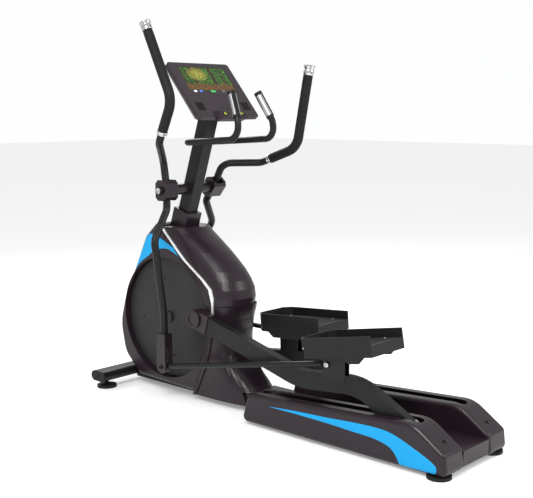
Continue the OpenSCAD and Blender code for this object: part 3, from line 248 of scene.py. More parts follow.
tray_plastic = finish("tray_plastic", (0.0045, 0.0045, 0.0045), (0.0075, 0.0075, 0.0075),
    rough=(0.44, 0.58), grain_scale=1700, grain_strength=0.4, specular=0.25)
console_plastic = finish("console_plastic", (0.023, 0.016, 0.021), (0.029, 0.021, 0.027),
    rough=(0.42, 0.54), grain_scale=1600, grain_strength=0.25, specular=0.3)
dark_gap = finish("dark_plastic", (0.003, 0.003, 0.003), (0.006, 0.006, 0.006),
    rough=(0.6, 0.8), grain_scale=900, grain_strength=0.3, specular=0.2)
foot_rubber = finish("foot_rubber", (0.006, 0.006, 0.006), (0.011, 0.011, 0.011),
    rough=(0.62, 0.78), grain_scale=1500, grain_strength=0.5, specular=0.25)
foam = finish("closed_cell_foam", (0.0050, 0.0050, 0.0052), (0.0080, 0.0080, 0.0082),
    rough=(0.60, 0.76), grain_scale=2600, grain_strength=0.7, grain_height=0.0003,
    specular=0.22)
print("dark finishes:", len(bpy.data.materials))

# %% [markdown]
# The bright finishes draw the eye: silver trims, blue film, key marks, chrome and brushed steel.
# The metals keep their colour in the base and differ in how sharply they reflect.

# %% Bright finishes
trim_silver = finish("silver_trim_paint", (0.72, 0.72, 0.73), (0.80, 0.80, 0.81),
    rough=(0.22, 0.32), grain_scale=2200, grain_strength=0.12, metal=0.35)
decal_blue = finish("blue_decal_film", (0.0, 0.275, 0.58), (0.0, 0.295, 0.62),
    rough=(0.34, 0.44), grain_scale=900, grain_strength=0.06, specular=0.25)
key_green = finish("key_green", (0.42, 0.44, 0.03), (0.50, 0.52, 0.05), rough=(0.4, 0.5),
    grain_scale=900, grain_strength=0.15)
chrome = finish("chrome_plate", (0.48, 0.48, 0.49), (0.62, 0.62, 0.63), rough=(0.10, 0.20),
    grain_scale=500, grain_strength=0.04, metal=1.0)
contact_plate = finish("contact_plate", (0.46, 0.46, 0.47), (0.54, 0.54, 0.55),
    rough=(0.26, 0.34), grain_scale=1800, grain_strength=0.03, metal=1.0)
ground_steel = finish("ground_steel", (0.50, 0.50, 0.51), (0.60, 0.60, 0.61),
    rough=(0.25, 0.40), grain_scale=1500, grain_strength=0.2, metal=1.0)
print("with bright finishes:", len(bpy.data.materials))

# %% [markdown]
# A few finishes show only through slots and gaps, but a part that is seen at all needs one.

# %% Finishes inside the machine
nylon = finish("roller_nylon", (0.60, 0.60, 0.57), (0.70, 0.70, 0.67), rough=(0.40, 0.52),
    grain_scale=1200, grain_strength=0.2)
cast_iron = finish("cast_iron", (0.16, 0.16, 0.17), (0.24, 0.24, 0.25), rough=(0.42, 0.6),
    grain_scale=500, grain_strength=0.6, grain_height=0.0004, metal=0.9)
brake_paint = finish("brake_paint", (0.32, 0.06, 0.03), (0.40, 0.09, 0.05), rough=(0.4, 0.55),
    grain_scale=900, grain_strength=0.3)
track_alloy = finish("track_alloy", (0.62, 0.62, 0.64), (0.72, 0.72, 0.74), rough=(0.3, 0.42),
    grain_scale=1500, grain_strength=0.25, metal=1.0)
print("finishes:", len(bpy.data.materials))

# %% [markdown]
# Each CAD node takes one finish. Most come in a left and a right, so a short helper names both.

# %% Dress the CAD nodes
def both(*parts):
    return [side + "_" + part for part in parts for side in ("left", "right")]

dress = {
    gloss_cover: both("rail_cover", "side_shell") + ["middle_cover", "rear_hood",
        "lower_rear_cover", "mast_boot"],
    joint_cover: both("crank_boot", "swing_hub", "rod_clevis") + ["swing_axle"],
    satin_black: both("pedal_arm", "swing_arm", "link_rod", "pedal_bracket") + ["pulse_bar",
        "mast", "front_stabilizer"],
    frame_coat: ["base_frame"],
    disc_plastic: ["crank_discs"],
    tray_plastic: both("pedal_tray") + ["pulse_grips"],
    console_plastic: ["console_back", "console_bezel"],
    trim_silver: ["silver_trims"],
    contact_plate: ["pulse_plates"],
    chrome: both("grip_fittings"),
    ground_steel: both("crank_pin", "roller_axle", "rod_bush") + ["crank_axle",
        "flywheel_axle", "bearings"],
    foot_rubber: ["levelling_feet", "stabilizer_end_caps", "drive_belt"],
    foam: both("foam_grip"),
    nylon: both("rollers"),
    cast_iron: ["flywheel"],
    brake_paint: ["magnet_brake"],
    track_alloy: ["roller_tracks"],
    dark_gap: ["crank_pulley", "console_screen"],
    key_green: both("key"),
}
for material, names in dress.items():
    for name in names:
        mesh = nodes[name].data
        mesh.materials.clear()
        mesh.materials.append(material)
print("dressed:", sum(len(names) for names in dress.values()), "of", len(nodes))

# %% [markdown]
# CAD edges are perfectly sharp, and no real edge is. A narrow bevel catches the light along
# each one. Shells, bent tubes and thin parts go without, because a bevel may fold on them.

# %% Soft edges
smooth_below, bevel_above = 32, 38
edge_width = 0.0011
no_bevel = set(both("swing_arm", "foam_grip", "side_shell") + ["pulse_bar", "drive_belt",
    "bearings", "rear_hood", "lower_rear_cover", "silver_trims", "pulse_plates"])

for name, node in nodes.items():
    node.data.shade_smooth()
    node.data.set_sharp_from_angle(angle=math.radians(smooth_below))
    if name not in no_bevel:
        edge = node.modifiers.new("soft_edge", "BEVEL")
        edge.width, edge.segments, edge.limit_method = edge_width, 2, "ANGLE"
        edge.angle_limit = math.radians(bevel_above)
        edge.harden_normals = True
print("bevelled:", len(nodes) - len(no_bevel), "of", len(nodes))

# %% [markdown]
# The details are drawn in the same places as the steel they sit on. Joint positions come
# from the frame, so a detail on a handle or a pedal needs only its own local coordinates.

# %% Places on the machine
def local(where, turn, shift=(0, 0, 0)):
    return (Matrix.Translation(Vector(where)) @ Matrix.Rotation(math.radians(turn), 4, "X")
        @ Matrix.Translation(Vector(shift)))

side_name = {-1: "left", 1: "right"}
joint_at = {j["name"]: Vector(j["pos_m"]) for j in frame["joints"] if "pos_m" in j}
pivot = joint_at["left_handle_swing"]
console_corner, console_slope = (0, 0.26809, 1.321), 49.5
face = local(console_corner, console_slope)

# How each side stands at rest: the handle's swing and the tray's slope.
swing_turn = {-1: 0.0, 1: 39.37}
tray_turn = {-1: -10.3, 1: -4.451}
pedal_x = 0.156
hinge_to_tray = (0, 0.05, 0.016)

def on_handle(side, p):
    """A point [out, forward, up] in metres from the swing axis."""
    q = Matrix.Rotation(math.radians(swing_turn[side]), 4, "X") @ Vector((0, p[1], p[2]))
    return Vector((side * p[0], pivot.y + q.y, pivot.z + q.z))

def on_tray(side):
    hinge = joint_at[side_name[side] + "_pedal_pitch"]
    return local((side * pedal_x, hinge.y, hinge.z), tray_turn[side], hinge_to_tray)

print("swing axis at", tuple(round(v, 3) for v in pivot))

# %% [markdown]
# Every small piece goes through the same steps: a mesh from points and faces, outward normals,
# smooth shading with sharp corners kept, a material and the body it rides on.

# %% Piece builders: any mesh
def piece(name, verts, faces, material, slot, body, angle=35):
    mesh = bpy.data.meshes.new(name)
    mesh.from_pydata([tuple(v) for v in verts], [], faces)
    mesh.validate()
    made = bpy.data.objects.new(name, mesh)
    bpy.context.scene.collection.objects.link(made)
    bm = bmesh.new()
    bm.from_mesh(mesh)
    bmesh.ops.recalc_face_normals(bm, faces=bm.faces)
    bm.to_mesh(mesh)
    bm.free()
    mesh.shade_smooth()
    mesh.set_sharp_from_angle(angle=math.radians(angle))
    mesh.materials.append(material)
    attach(made, body)
    return made

def block(name, corner, size, where, material, slot, body, bevel=0.0004):
    """A box from its lowest corner, with its edges rounded."""
    x, y, z = corner
    u, v, w = size
    verts = [where @ Vector((x + a * u, y + b * v, z + c * w))
        for a in (0, 1) for b in (0, 1) for c in (0, 1)]
    faces = [(0, 1, 3, 2), (4, 6, 7, 5), (0, 4, 5, 1), (2, 3, 7, 6), (0, 2, 6, 4), (1, 5, 7, 3)]
    made = piece(name, verts, faces, material, slot, body)
    edge = made.modifiers.new("soft_edge", "BEVEL")
    edge.width, edge.segments = bevel, 3
    return made

print("builders: piece, block")

# %% [markdown]
# Caps, screws and rings are turned on a lathe, so each is a profile carried round an axis. A
# profile that starts or ends off the axis is closed with a flat face.

# %% Piece builders: turned shapes
on_axis = 0.0001

def turned(profile, where, verts, faces, sides=28):
    """Adds a turned shape. The profile is [radius, height] pairs, and where maps its own +Z."""
    first = len(verts)
    for r, h in profile:
        for k in range(sides):
            a = 2 * math.pi * k / sides
            verts.append(where @ Vector((r * math.cos(a), r * math.sin(a), h)))
    for i in range(len(profile) - 1):
        for k in range(sides):
            n = (k + 1) % sides
            faces.append(tuple(first + v for v in (i * sides + k, i * sides + n,
                (i + 1) * sides + n, (i + 1) * sides + k)))
    for i in (0, len(profile) - 1):
        if profile[i][0] > on_axis:
            faces.append(tuple(first + i * sides + k for k in range(sides)))

def lathe(name, profile, where, material, slot, body, sides=28):
    verts, faces = [], []
    turned(profile, where, verts, faces, sides)
    return piece(name, verts, faces, material, slot, body)

print("builders: turned, lathe")

# %% [markdown]
# A bent tube is a ring of points carried along a route. The ring turns as little as it can
# from step to step, so that the tube doesn't twist, and its radius may change on the way.

# %% Piece builders: tubes
def rounded(points, radii, steps=10):
    """The route through the points, with its inner corners turned into arcs."""
    pts = [Vector(p) for p in points]
    out = [pts[0]]
    for i, r in enumerate(radii, 1):
        a, p, b = pts[i - 1], pts[i], pts[i + 1]
        u, v = (a - p).normalized(), (b - p).normalized()
        half = u.angle(v) / 2
        c = p + (u + v).normalized() * (r / math.sin(half))
        n = (p + u * (r / math.tan(half)) - c).normalized()
        e = (p + v * (r / math.tan(half)) - c).normalized()
        w = (e - n * n.dot(e)).normalized()
        turn = math.pi - 2 * half
        out += [c + r * (n * math.cos(turn * k / steps) + w * math.sin(turn * k / steps))
            for k in range(steps + 1)]
    return out + [pts[-1]]

def tube(name, path, radii, material, slot, body, sides=32):
    """A tube along the path, with one radius for each of its points."""
    verts, faces = [], []
    axis = (path[1] - path[0]).normalized()
    side = axis.orthogonal().normalized()
    for i, p in enumerate(path):
        t = (path[min(i + 1, len(path) - 1)] - path[max(i - 1, 0)]).normalized()
        side = (side - t * side.dot(t)).normalized()
        up = t.cross(side)
        for k in range(sides):
            a = 2 * math.pi * k / sides
            verts.append(p + radii[i] * (side * math.cos(a) + up * math.sin(a)))
    for i in range(len(path) - 1):
        for k in range(sides):
            n = (k + 1) % sides
            faces.append((i * sides + k, i * sides + n, (i + 1) * sides + n,
                (i + 1) * sides + k))
    faces += [tuple(range(sides)), tuple(len(verts) - sides + k for k in range(sides))]
    return piece(name, verts, faces, material, slot, body, angle=60)

print("builders: rounded, tube")

# %% [markdown]
# The foam on the handles is one moulded sleeve. It is swept along the tube with many fine
# steps, so that its thickness stays even in the bend, and its ends roll in a little.

# %% Foam sleeves
def spaced(path, gap=0.006):
    out = [path[0]]
    for a, b in zip(path, path[1:]):
        n = max(1, round((b - a).length / gap))
        out += [a.lerp(b, k / n) for k in range(1, n + 1)]
    return out

# The handle's last three bends, from the swing axis, and where the foam lies along them.
low = Vector((0.270, -0.084, 0.222))
knee = Vector((0.292, -0.196, 0.412))
tip = Vector((0.286, -0.028, 0.737))
sleeve_start, cap_depth, bend_radius = 0.30, 0.024, 0.095
foam_radius, end_roll, foam_ripple = 0.0225, 0.0015, 0.00012
start = low.lerp(knee, sleeve_start)
stop = tip - (tip - knee).normalized() * cap_depth

def foam_thickness(i, last):
    """The radius at step i: rolled in at both ends, with a slight ripple between."""
    return (foam_radius - end_roll * max(0, 1 - min(i, last - i) / 1.5)
        + foam_ripple * math.sin(i * 0.9))

for side, name in side_name.items():
    bend = rounded((start, knee, stop), (bend_radius,))
    route = spaced([on_handle(side, p) for p in bend])
    thick = [foam_thickness(i, len(route) - 1) for i in range(len(route))]
    sleeve = tube(name + "_foam_sleeve", route, thick, foam, "grip_foam", name + "_handle", 40)
    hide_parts(name + "_foam_grip")
print("foam points per sleeve:", len(route))

# %% [markdown]
# A bright collar closes the lower end of each sleeve and a flared cap the upper end. Both
# are turned from profiles, and share one mesh because they stand for one CAD node. A small
# screw in its side holds each cap.

# %% Bright fittings
collar = [(0.0178, -0.020), (0.0205, -0.0198), (0.0232, -0.0185), (0.0238, -0.0150),
    (0.0226, -0.0135), (0.0226, -0.0115), (0.0242, -0.0100), (0.0246, -0.0030),
    (0.0238, -0.0006), (0.0178, -0.0004)]
cap = [(0.0178, -0.0236), (0.0236, -0.0236), (0.0243, -0.0222), (0.0243, -0.0035),
    (0.0232, -0.0015), (0.0228, 0.0020), (0.0240, 0.0060), (0.0266, 0.0105),
    (0.0276, 0.0140), (0.0268, 0.0168), (0.0235, 0.0176), (0.0150, 0.0150), (0.00005, 0.0142)]
small_screw = [(0.0034, -0.001), (0.0034, 0.0006), (0.0026, 0.0010), (0.0016, 0.0004),
    (0.00005, 0.0003)]
screw_round, screw_out, screw_down = -100, 0.0240, 0.012

def along_tube(side, back, end):
    """The place at one end of a straight run of the handle, with +Z leading out of it."""
    a, b = on_handle(side, back), on_handle(side, end)
    return Matrix.Translation(b) @ (b - a).to_track_quat("Z", "Y").to_matrix().to_4x4()

for side, name in side_name.items():
    verts, faces = [], []
    turned(collar, along_tube(side, low, start), verts, faces, 48)
    turned(cap, along_tube(side, knee, tip), verts, faces, 48)
    bright = piece(name + "_bright_fittings", verts, faces, chrome, "fitting_chrome",
        name + "_handle", angle=50)
    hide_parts(name + "_grip_fittings")
    dot = (along_tube(side, knee, tip)
        @ Matrix.Rotation(math.radians(screw_round * side), 4, "Z")
        @ Matrix.Translation((screw_out, 0, -screw_down))
        @ Matrix.Rotation(math.pi / 2, 4, "Y"))
    lathe(name + "_cap_screw", small_screw, dot, dark_gap, "fitting_chrome",
        name + "_handle", 20)
print("points in each pair of fittings:", len(verts))

# %% [markdown]
# The blue films are cut from smooth curves and pressed onto the covers. The curves come first:
# each one passes through a few chosen points, as a draughtsman's spline does.

# %% Smooth outlines
def smooth_run(points, steps=8):
    """A soft curve through the points, from the first to the last."""
    pts = [Vector(p) for p in points]
    pts = [2 * pts[0] - pts[1]] + pts + [2 * pts[-1] - pts[-2]]
    out = []
    for i in range(1, len(pts) - 2):
        a, b, c, d = pts[i - 1:i + 3]
        for k in range(steps):
            t = k / steps
            out.append(0.5 * (2 * b + (c - a) * t + (2 * a - 5 * b + 4 * c - d) * t * t
                + (3 * b - a - 3 * c + d) * t ** 3))
    return out + [pts[-2]]

print("a curve through 3 points has", len(smooth_run([(0, 0), (1, 1), (2, 0)])), "points")

# %% [markdown]
# Each film is filled with a fine net of points, and every point moves straight inward until it
# meets the cover. Faces with a point that misses the cover are left out.

# %% Pressing a film onto a cover
net = 0.007
film_lift, film_thick = 0.0005, 0.0002

def film(name, runs, side, cover):
    """A film inside a closed outline of curves, in [forward, up], pressed onto a cover."""
    loop = [p for run in runs for p in smooth_run(run)[:-1]]
    lows = [min(p[i] for p in loop) for i in (0, 1)]
    highs = [max(p[i] for p in loop) for i in (0, 1)]
    grid = [Vector((lows[0] + net * i, lows[1] + net * j))
        for i in range(int((highs[0] - lows[0]) / net) + 1)
        for j in range(int((highs[1] - lows[1]) / net) + 1)]
    ring = [(i, (i + 1) % len(loop)) for i in range(len(loop))]
    pts, _, tris, *_ = delaunay_2d_cdt(loop + grid, ring, [list(range(len(loop)))], 1, 1e-6)
    bm = bmesh.new()
    bm.from_mesh(nodes[cover].data)
    bm.transform(nodes[cover].matrix_world)
    skin = BVHTree.FromBMesh(bm)
    bm.free()
    outside, inward, deepest = 0.4, Vector((-side, 0, 0)), 0.1
    verts = []
    for p in pts:
        hit = skin.ray_cast(Vector((side * outside, p.x, p.y)), inward)[0]
        on_cover = hit and abs(hit.x) > deepest
        verts.append((hit.x + side * film_lift, p.x, p.y) if on_cover else None)
    tris = [t for t in tris if all(verts[i] for i in t)]
    spare = (side * 0.12, 0.5, 0.5)    # for points that missed, which have no face left
    verts = [v or spare for v in verts]
    made = piece(name, verts, tris, decal_blue, "cover_gloss", "base", angle=60)
    made.modifiers.new("film", "SOLIDIFY").thickness = film_thick

print("net of points:", net, "m")

# %% [markdown]
# The crescent fills the shell's top between its rim and the crank disc. The swoosh starts as a
# point near the front of each rail and swells into a broad tail at the rear foot.

# %% Film outlines

crescent = [
    [(0.446, 0.657), (0.480, 0.687), (0.528, 0.715), (0.583, 0.740), (0.628, 0.757)],
    [(0.628, 0.757), (0.662, 0.766), (0.690, 0.763), (0.712, 0.744)],
    [(0.712, 0.744), (0.738, 0.700), (0.764, 0.652), (0.788, 0.600), (0.804, 0.567)],
    [(0.804, 0.567), (0.785, 0.592), (0.750, 0.625), (0.700, 0.656), (0.650, 0.690),
        (0.578, 0.704), (0.529, 0.694), (0.490, 0.677), (0.446, 0.657)]]
swoosh = [
    [(-0.165, 0.110), (-0.319, 0.122), (-0.478, 0.130), (-0.629, 0.140), (-0.725, 0.143),
        (-0.791, 0.138), (-0.846, 0.123)],
    [(-0.846, 0.123), (-0.910, 0.098), (-0.963, 0.076), (-1.002, 0.054)],
    [(-1.002, 0.054), (-1.004, 0.042), (-1.004, 0.034), (-0.998, 0.023)],
    [(-0.998, 0.023), (-0.947, 0.023), (-0.890, 0.021), (-0.840, 0.020)],
    [(-0.840, 0.020), (-0.828, 0.044), (-0.811, 0.066), (-0.783, 0.083), (-0.726, 0.096),
        (-0.629, 0.101), (-0.478, 0.107), (-0.319, 0.110), (-0.165, 0.110)]]
for side, name in side_name.items():
    film(name + "_crescent_film", crescent, side, name + "_side_shell")
    film(name + "_swoosh_film", swoosh, side, name + "_rail_cover")

# %% [markdown]
# The screen shows a woodland path. Tall dark trunks come from a noise stretched upwards,
# leaves from a fine one, and the light from a soft round mask. The row of tiles below is
# geometry, so its edges stay crisp. Two helpers come first: a colour ramp and a colour mix.

# %% Screen material and its helpers
screen = bpy.data.materials.new("screen_picture")
screen.use_nodes = True
tree = screen.node_tree
shader = tree.nodes["Principled BSDF"]
on_screen = object_coordinates(tree)
axes = tree.nodes.new("ShaderNodeSeparateXYZ")
tree.links.new(on_screen, axes.inputs["Vector"])
across, height = axes.outputs["X"], axes.outputs["Y"]

def ramp(value, stops):
    n = tree.nodes.new("ShaderNodeValToRGB")
    while len(n.color_ramp.elements) < len(stops):
        n.color_ramp.elements.new(0.5)
    for e, (at, colour) in zip(n.color_ramp.elements, stops):
        e.position, e.color = at, (*colour, 1)
    tree.links.new(value, n.inputs["Fac"])
    return n.outputs["Color"]

def mix_colours(mask, a, b):
    n = tree.nodes.new("ShaderNodeMix")
    n.data_type = "RGBA"
    sockets = (n.inputs[MIX_FACTOR], n.inputs[MIX_A], n.inputs[MIX_B])
    for socket, v in zip(sockets, (mask, a, b)):
        if isinstance(v, tuple):
            socket.default_value = (*v, 1)
        else:
            tree.links.new(v, socket)
    return n.outputs[MIX_RESULT]

print("ramp and mix helpers ready for", screen.name)

# %% [markdown]
# The picture is built from back to front. Leaves and trunks make the forest, a wavy line parts
# it from the leafy ground, and a patch of evening light is mixed over both.

# %% Screen picture
leaves = ramp(noise(tree, on_screen, 62.0, 10.0, 0.80),
    [(0.40, (0.002, 0.007, 0.001)), (0.50, (0.010, 0.045, 0.003)), (0.60, (0.05, 0.15, 0.010)),
        (0.74, (0.26, 0.34, 0.04))])
stretch = tree.nodes.new("ShaderNodeMapping")
stretch.inputs["Scale"].default_value = (1.0, 0.06, 1.0)
tree.links.new(on_screen, stretch.inputs["Vector"])
trunks = ramp(noise(tree, stretch.outputs["Vector"], 34.0, 2.0, 0.4),
    [(0.50, (0, 0, 0)), (0.57, (1, 1, 1))])
forest = mix_colours(trunks, leaves, (0.018, 0.010, 0.004))
ground_waves, ground_top = 0.05, 0.002
ground_line = math_node(tree, "ADD", height, math_node(tree, "MULTIPLY",
    noise(tree, on_screen, 22.0), ground_waves))
ground_mask = math_node(tree, "LESS_THAN", ground_line, ground_top)
ground = ramp(noise(tree, on_screen, 120.0, 7.0, 0.7),
    [(0.38, (0.010, 0.006, 0.001)), (0.55, (0.085, 0.040, 0.008)), (0.74, (0.26, 0.13, 0.03))])
scene_colour = mix_colours(ground_mask, forest, ground)
sun_left, sun_up, sun_wide, sun_tall = 0.045, 0.035, 0.07, 0.045
from_sun_x = math_node(tree, "DIVIDE", math_node(tree, "ADD", across, sun_left), sun_wide)
from_sun_y = math_node(tree, "DIVIDE", math_node(tree, "SUBTRACT", height, sun_up), sun_tall)
glow = math_node(tree, "SUBTRACT", 1.0, math_node(tree, "ADD",
    math_node(tree, "MULTIPLY", from_sun_x, from_sun_x),
    math_node(tree, "MULTIPLY", from_sun_y, from_sun_y)), True)
sparkle = ramp(noise(tree, on_screen, 90.0, 8.0, 0.75),
    [(0.42, (0.05, 0.05, 0.05)), (0.66, (1, 1, 1))])
sunlight = (0.42, 0.36, 0.05)
lit = mix_colours(math_node(tree, "MULTIPLY", glow, sparkle), scene_colour, sunlight)
tree.links.new(lit, shader.inputs["Emission Color"])
tree.links.new(lit, shader.inputs["Base Color"])
tree.links.new(place(tree, marks, Scale=9.0, Low=0.10, High=0.2).outputs["Roughness"],
    shader.inputs["Roughness"])
picture_glow, tile_glow = 0.62, 0.7
shader.inputs["Emission Strength"].default_value = picture_glow
shader.inputs["Specular IOR Level"].default_value = 0.3
print("screen nodes:", len(tree.nodes))

# %% [markdown]
# The picture lies on a flat panel, a little below the console's face. The panel's mesh is made
# round its own origin, so that the picture's coordinates start at its middle.

# %% Screen panel
half_width, half_height = 0.147, 0.0765
columns, rows = 60, 30
row = columns + 1
verts = [(half_width * (2 * i / columns - 1), half_height * (2 * j / rows - 1), 0.0)
    for j in range(rows + 1) for i in range(row)]
quads = [(j * row + i, j * row + i + 1, (j + 1) * row + i + 1, (j + 1) * row + i)
    for j in range(rows) for i in range(columns)]
mesh = bpy.data.meshes.new("screen_picture")
mesh.from_pydata(verts, [], quads)
mesh.materials.append(screen)
panel = bpy.data.objects.new("screen_picture", mesh)
panel_up, panel_depth = 0.221, -0.0012
panel.matrix_world = face @ Matrix.Translation((0, panel_up, panel_depth))
bpy.context.scene.collection.objects.link(panel)
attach(panel, "base")
print("screen panel at", tuple(round(v, 3) for v in panel.location))

# %% [markdown]
# Under the picture runs a dark bar with five plain lit tiles. Each tile is a thin block whose
# paint also gives light, which is what the lit area of a display does.

# %% Screen bar and tiles
def lit_paint(name, base, shade):
    material = finish(name, base, shade, rough=(0.2, 0.3), grain_scale=900,
        grain_strength=0.03)
    shader = material.node_tree.nodes["Principled BSDF"]
    colour = shader.inputs["Base Color"].links[0].from_socket
    material.node_tree.links.new(colour, shader.inputs["Emission Color"])
    shader.inputs["Emission Strength"].default_value = tile_glow
    return material

def tile(name, middle, size, low, high, paint):
    """A thin block on the screen, from height low to height high above the console's face."""
    block(name, (middle[0] - size[0] / 2, middle[1] - size[1] / 2, low),
        (size[0], size[1], high - low), face, paint, "screen_glass", "base", 0.0002)

bar_up, bar_low, bar_high, tile_high = 0.1535, -0.0011, -0.0009, -0.0006
bar_black = lit_paint("screen_bar", (0.004, 0.004, 0.004), (0.008, 0.008, 0.008))
tile("screen_bar", (0, bar_up), (0.292, 0.016), bar_low, bar_high, bar_black)
tiles = [(-0.118, 0.017, (0.6, 0.6, 0.6)), (-0.083, 0.017, (0.03, 0.12, 0.5)),
    (-0.006, 0.030, (0.02, 0.30, 0.06)), (0.060, 0.017, (0.08, 0.08, 0.08)),
    (0.100, 0.017, (0.3, 0.05, 0.03))]
for i, (across_face, wide, base) in enumerate(tiles):
    paint = lit_paint("tile_paint_%d" % i, base, tuple(v * 1.2 for v in base))
    tile("screen_tile_%d" % i, (across_face, bar_up), (wide, 0.010), bar_high, tile_high, paint)
print("screen tiles:", len(tiles))

# %% [markdown]
# Round the screen, the console has two cloth speaker covers, two keys in oval dishes and a
# headphone socket. Each is a small piece of its own on the sloping face.

# %% Console details
speaker_out, rib_pitch, ribs = 0.144, 0.005, 9
key_out, key_low, dish_high, key_top, dish_squeeze = 0.053, -0.002, 0.027, 0.0295, 0.72
dish = [(0.019, 0.0), (0.019, 0.0006), (0.0172, 0.0010), (0.0150, 0.0004), (0.009, 0.0003)]
key_ring = [(0.0042, 0.0), (0.0042, 0.0003), (0.0026, 0.0003), (0.0026, 0.0001)]
socket_ring = [(0.0075, 0.0), (0.0075, 0.0016), (0.0062, 0.0026), (0.0042, 0.0026),
    (0.0032, 0.0012), (0.0032, 0.0002)]
for side, name in side_name.items():
    block(name + "_speaker_cloth", (side * speaker_out - 0.023, 0.041, -0.0006),
        (0.046, 0.047, 0.0011), face, dark_gap, "console_plastic", "base")
    for k in range(ribs):
        block("%s_speaker_rib_%d" % (name, k),
            (side * speaker_out - 0.022, 0.0435 + k * rib_pitch, 0.0004),
            (0.044, 0.0014, 0.0006), face, tray_plastic, "console_plastic", "base", 0.0002)
    oval = (face @ Matrix.Translation((side * key_out, key_low, dish_high))
        @ Matrix.Diagonal((1.0, dish_squeeze, 1.0, 1.0)))
    lathe(name + "_key_dish", dish, oval, dark_gap, "console_plastic", "base", 40)
    icon = face @ Matrix.Translation((side * key_out, key_low, key_top))
    lathe(name + "_key_mark", key_ring, icon, dark_gap, "key_green", name + "_key_cap", 24)
socket = (face @ Matrix.Translation((0.101, -0.0005, -0.004))
    @ Matrix.Rotation(math.radians(90), 4, "X"))
lathe("headphone_ring", socket_ring, socket, chrome, "trim_silver", "base")

# %% [markdown]
# Fasteners finish the joints. One profile makes every socket screw, with a dished head and a
# hollow for the key, and each screw rides on the piece that it holds.

# %% Screw helpers
def screw(name, where, r, material, slot, body):
    lathe(name, [(r, -0.001), (r, r * 0.30), (r * 0.85, r * 0.50), (r * 0.52, r * 0.56),
        (r * 0.46, r * 0.12), (0.00005, r * 0.08)], where, material, slot, body, 24)

def facing(side, p):
    """A place at p whose +Z points out of the machine's left or right side."""
    return Matrix.Translation(Vector(p)) @ Matrix.Rotation(side * math.pi / 2, 4, "Y")

def drop(cover, x, y):
    """Where a plumb line first meets a cover, turned to stand on its surface."""
    _, hit, normal, _ = nodes[cover].ray_cast(Vector((x, y, 1.0)), Vector((0, 0, -1)))
    return Matrix.Translation(hit) @ normal.to_track_quat("Z", "Y").to_matrix().to_4x4()

print("screw helpers ready")

# %% [markdown]
# The crank disc has four small screws and a cap over the axle's end. The swing axle ends in a
# steel ring, and the clevis at the handle's foot is pinned to the link rod by a larger screw.

# %% Drive and handle fasteners
crank = joint_at["crank_turn"]
disc_face, cap_face, hub_face, clevis_face = 0.0982, 0.1025, 0.2046, 0.2492
screw_circle, first_screw = 0.1866, -8.5
clevis_drop, clevis_lean, clevis_x = 0.818, math.radians(3.2), 0.222
axle_cap = [(0.027, 0.0), (0.027, 0.004), (0.023, 0.0075), (0.012, 0.0085), (0.0001, 0.0088)]
hub_ring = [(0.0135, -0.001), (0.0135, 0.0014), (0.0122, 0.0020), (0.0098, 0.0006)]

def drive_fasteners(side, name):
    for k in range(4):
        a = math.radians(90 * k + first_screw)
        p = (side * disc_face, crank.y + screw_circle * math.cos(a),
            crank.z + screw_circle * math.sin(a))
        screw("%s_disc_screw_%d" % (name, k), facing(side, p), 0.0042, dark_gap,
            "disc_plastic", "crank")
    lathe(name + "_disc_cap", axle_cap, facing(side, (side * cap_face, crank.y, crank.z)),
        disc_plastic, "disc_plastic", "crank", 40)
    lathe(name + "_hub_ring", hub_ring, facing(side, (side * hub_face, pivot.y, pivot.z)),
        ground_steel, "frame_steel", "base", 36)
    eye = on_handle(side, (clevis_x, -clevis_drop * math.sin(clevis_lean),
        -clevis_drop * math.cos(clevis_lean)))
    screw(name + "_clevis_screw", facing(side, (side * clevis_face, eye.y, eye.z)), 0.0085,
        satin_black, "joint_cover", name + "_handle")

print("screws on each disc:", 4)

# %% [markdown]
# A tray's floor has raised treads, so that a shoe doesn't slip, and four screws hold it down.
# The treads get a little shorter from the middle to the outside.

# %% Tray details
treads, tread_pitch, tread_wide, tread_long, tread_high = 9, 0.019, 0.005, 0.315, 0.0014
tread_x, tread_y, tread_shorter = -0.076, -0.168, 0.010
tray_screw_x, tray_screw_y = 0.068, 0.124

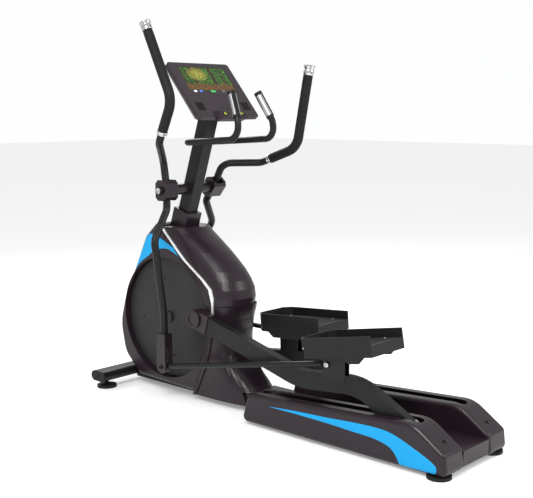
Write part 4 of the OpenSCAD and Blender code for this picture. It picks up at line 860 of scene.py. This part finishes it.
def tray_details(side, name):
    tray = on_tray(side)
    for k in range(treads):
        corner = (tread_x + k * tread_pitch - tread_wide / 2, tread_y, 0.0)
        size = (tread_wide, tread_long - tread_shorter * abs(k - treads // 2), tread_high)
        block("%s_tread_%d" % (name, k), corner, size, tray, foot_rubber, "tray_plastic",
            name + "_pedal", 0.0006)
    for u in (-1, 1):
        for v in (-1, 1):
            where = tray @ Matrix.Translation((u * tray_screw_x, v * tray_screw_y, 0.0006))
            screw("%s_tray_screw_%d_%d" % (name, u > 0, v > 0), where, 0.0048, ground_steel,
                "tray_plastic", name + "_pedal")

print("treads on each tray:", treads)

# %% [markdown]
# The last fasteners are a bright screw where the link rod meets the bracket, a screw in each
# rail cover and a button in each end cap of the front tube.

# %% Rod, rail and end cap fasteners
rod_face, end_cap_face = 0.2468, 0.3062
rail_screw_y, end_cap_y, end_cap_z = -0.990, 0.884, 0.062
button = [(0.008, -0.001), (0.008, 0.0008), (0.006, 0.0016), (0.0001, 0.0018)]

def frame_fasteners(side, name):
    bolt = joint_at[name + "_bush_turn"]
    screw(name + "_rod_screw", facing(side, (side * rod_face, bolt.y, bolt.z)), 0.0112,
        chrome, "bracket_black", name + "_arm")
    screw(name + "_rail_screw", drop(name + "_rail_cover", side * pedal_x, rail_screw_y),
        0.0062, dark_gap, "cover_gloss", "base")
    lathe(name + "_end_cap_button", button,
        facing(side, (side * end_cap_face, end_cap_y, end_cap_z)), dark_gap, "end_cap",
        "base", 24)

for side, name in side_name.items():
    drive_fasteners(side, name)
    tray_details(side, name)
    frame_fasteners(side, name)

# %% [markdown]
# The floor is a plain pale plane just under the feet. It gives a little light of its own, so
# that it meets the pale world without a dark line, and still takes a soft shadow.

# %% Floor
floor_size, floor_drop, floor_glow = 60, 0.0005, 0.24
bpy.ops.mesh.primitive_plane_add(size=floor_size, location=(0, 0, -floor_drop))
floor = bpy.context.object
floor.name = "studio_floor"
pale = finish("pale_floor", (0.80, 0.80, 0.80), (0.84, 0.84, 0.84), rough=(0.55, 0.7),
    grain_scale=200, grain_strength=0.02)
shader = pale.node_tree.nodes["Principled BSDF"]
shader.inputs["Emission Color"].default_value = (1, 1, 1, 1)
shader.inputs["Emission Strength"].default_value = floor_glow
floor.data.materials.append(pale)
print("floor:", floor_size, "m wide")
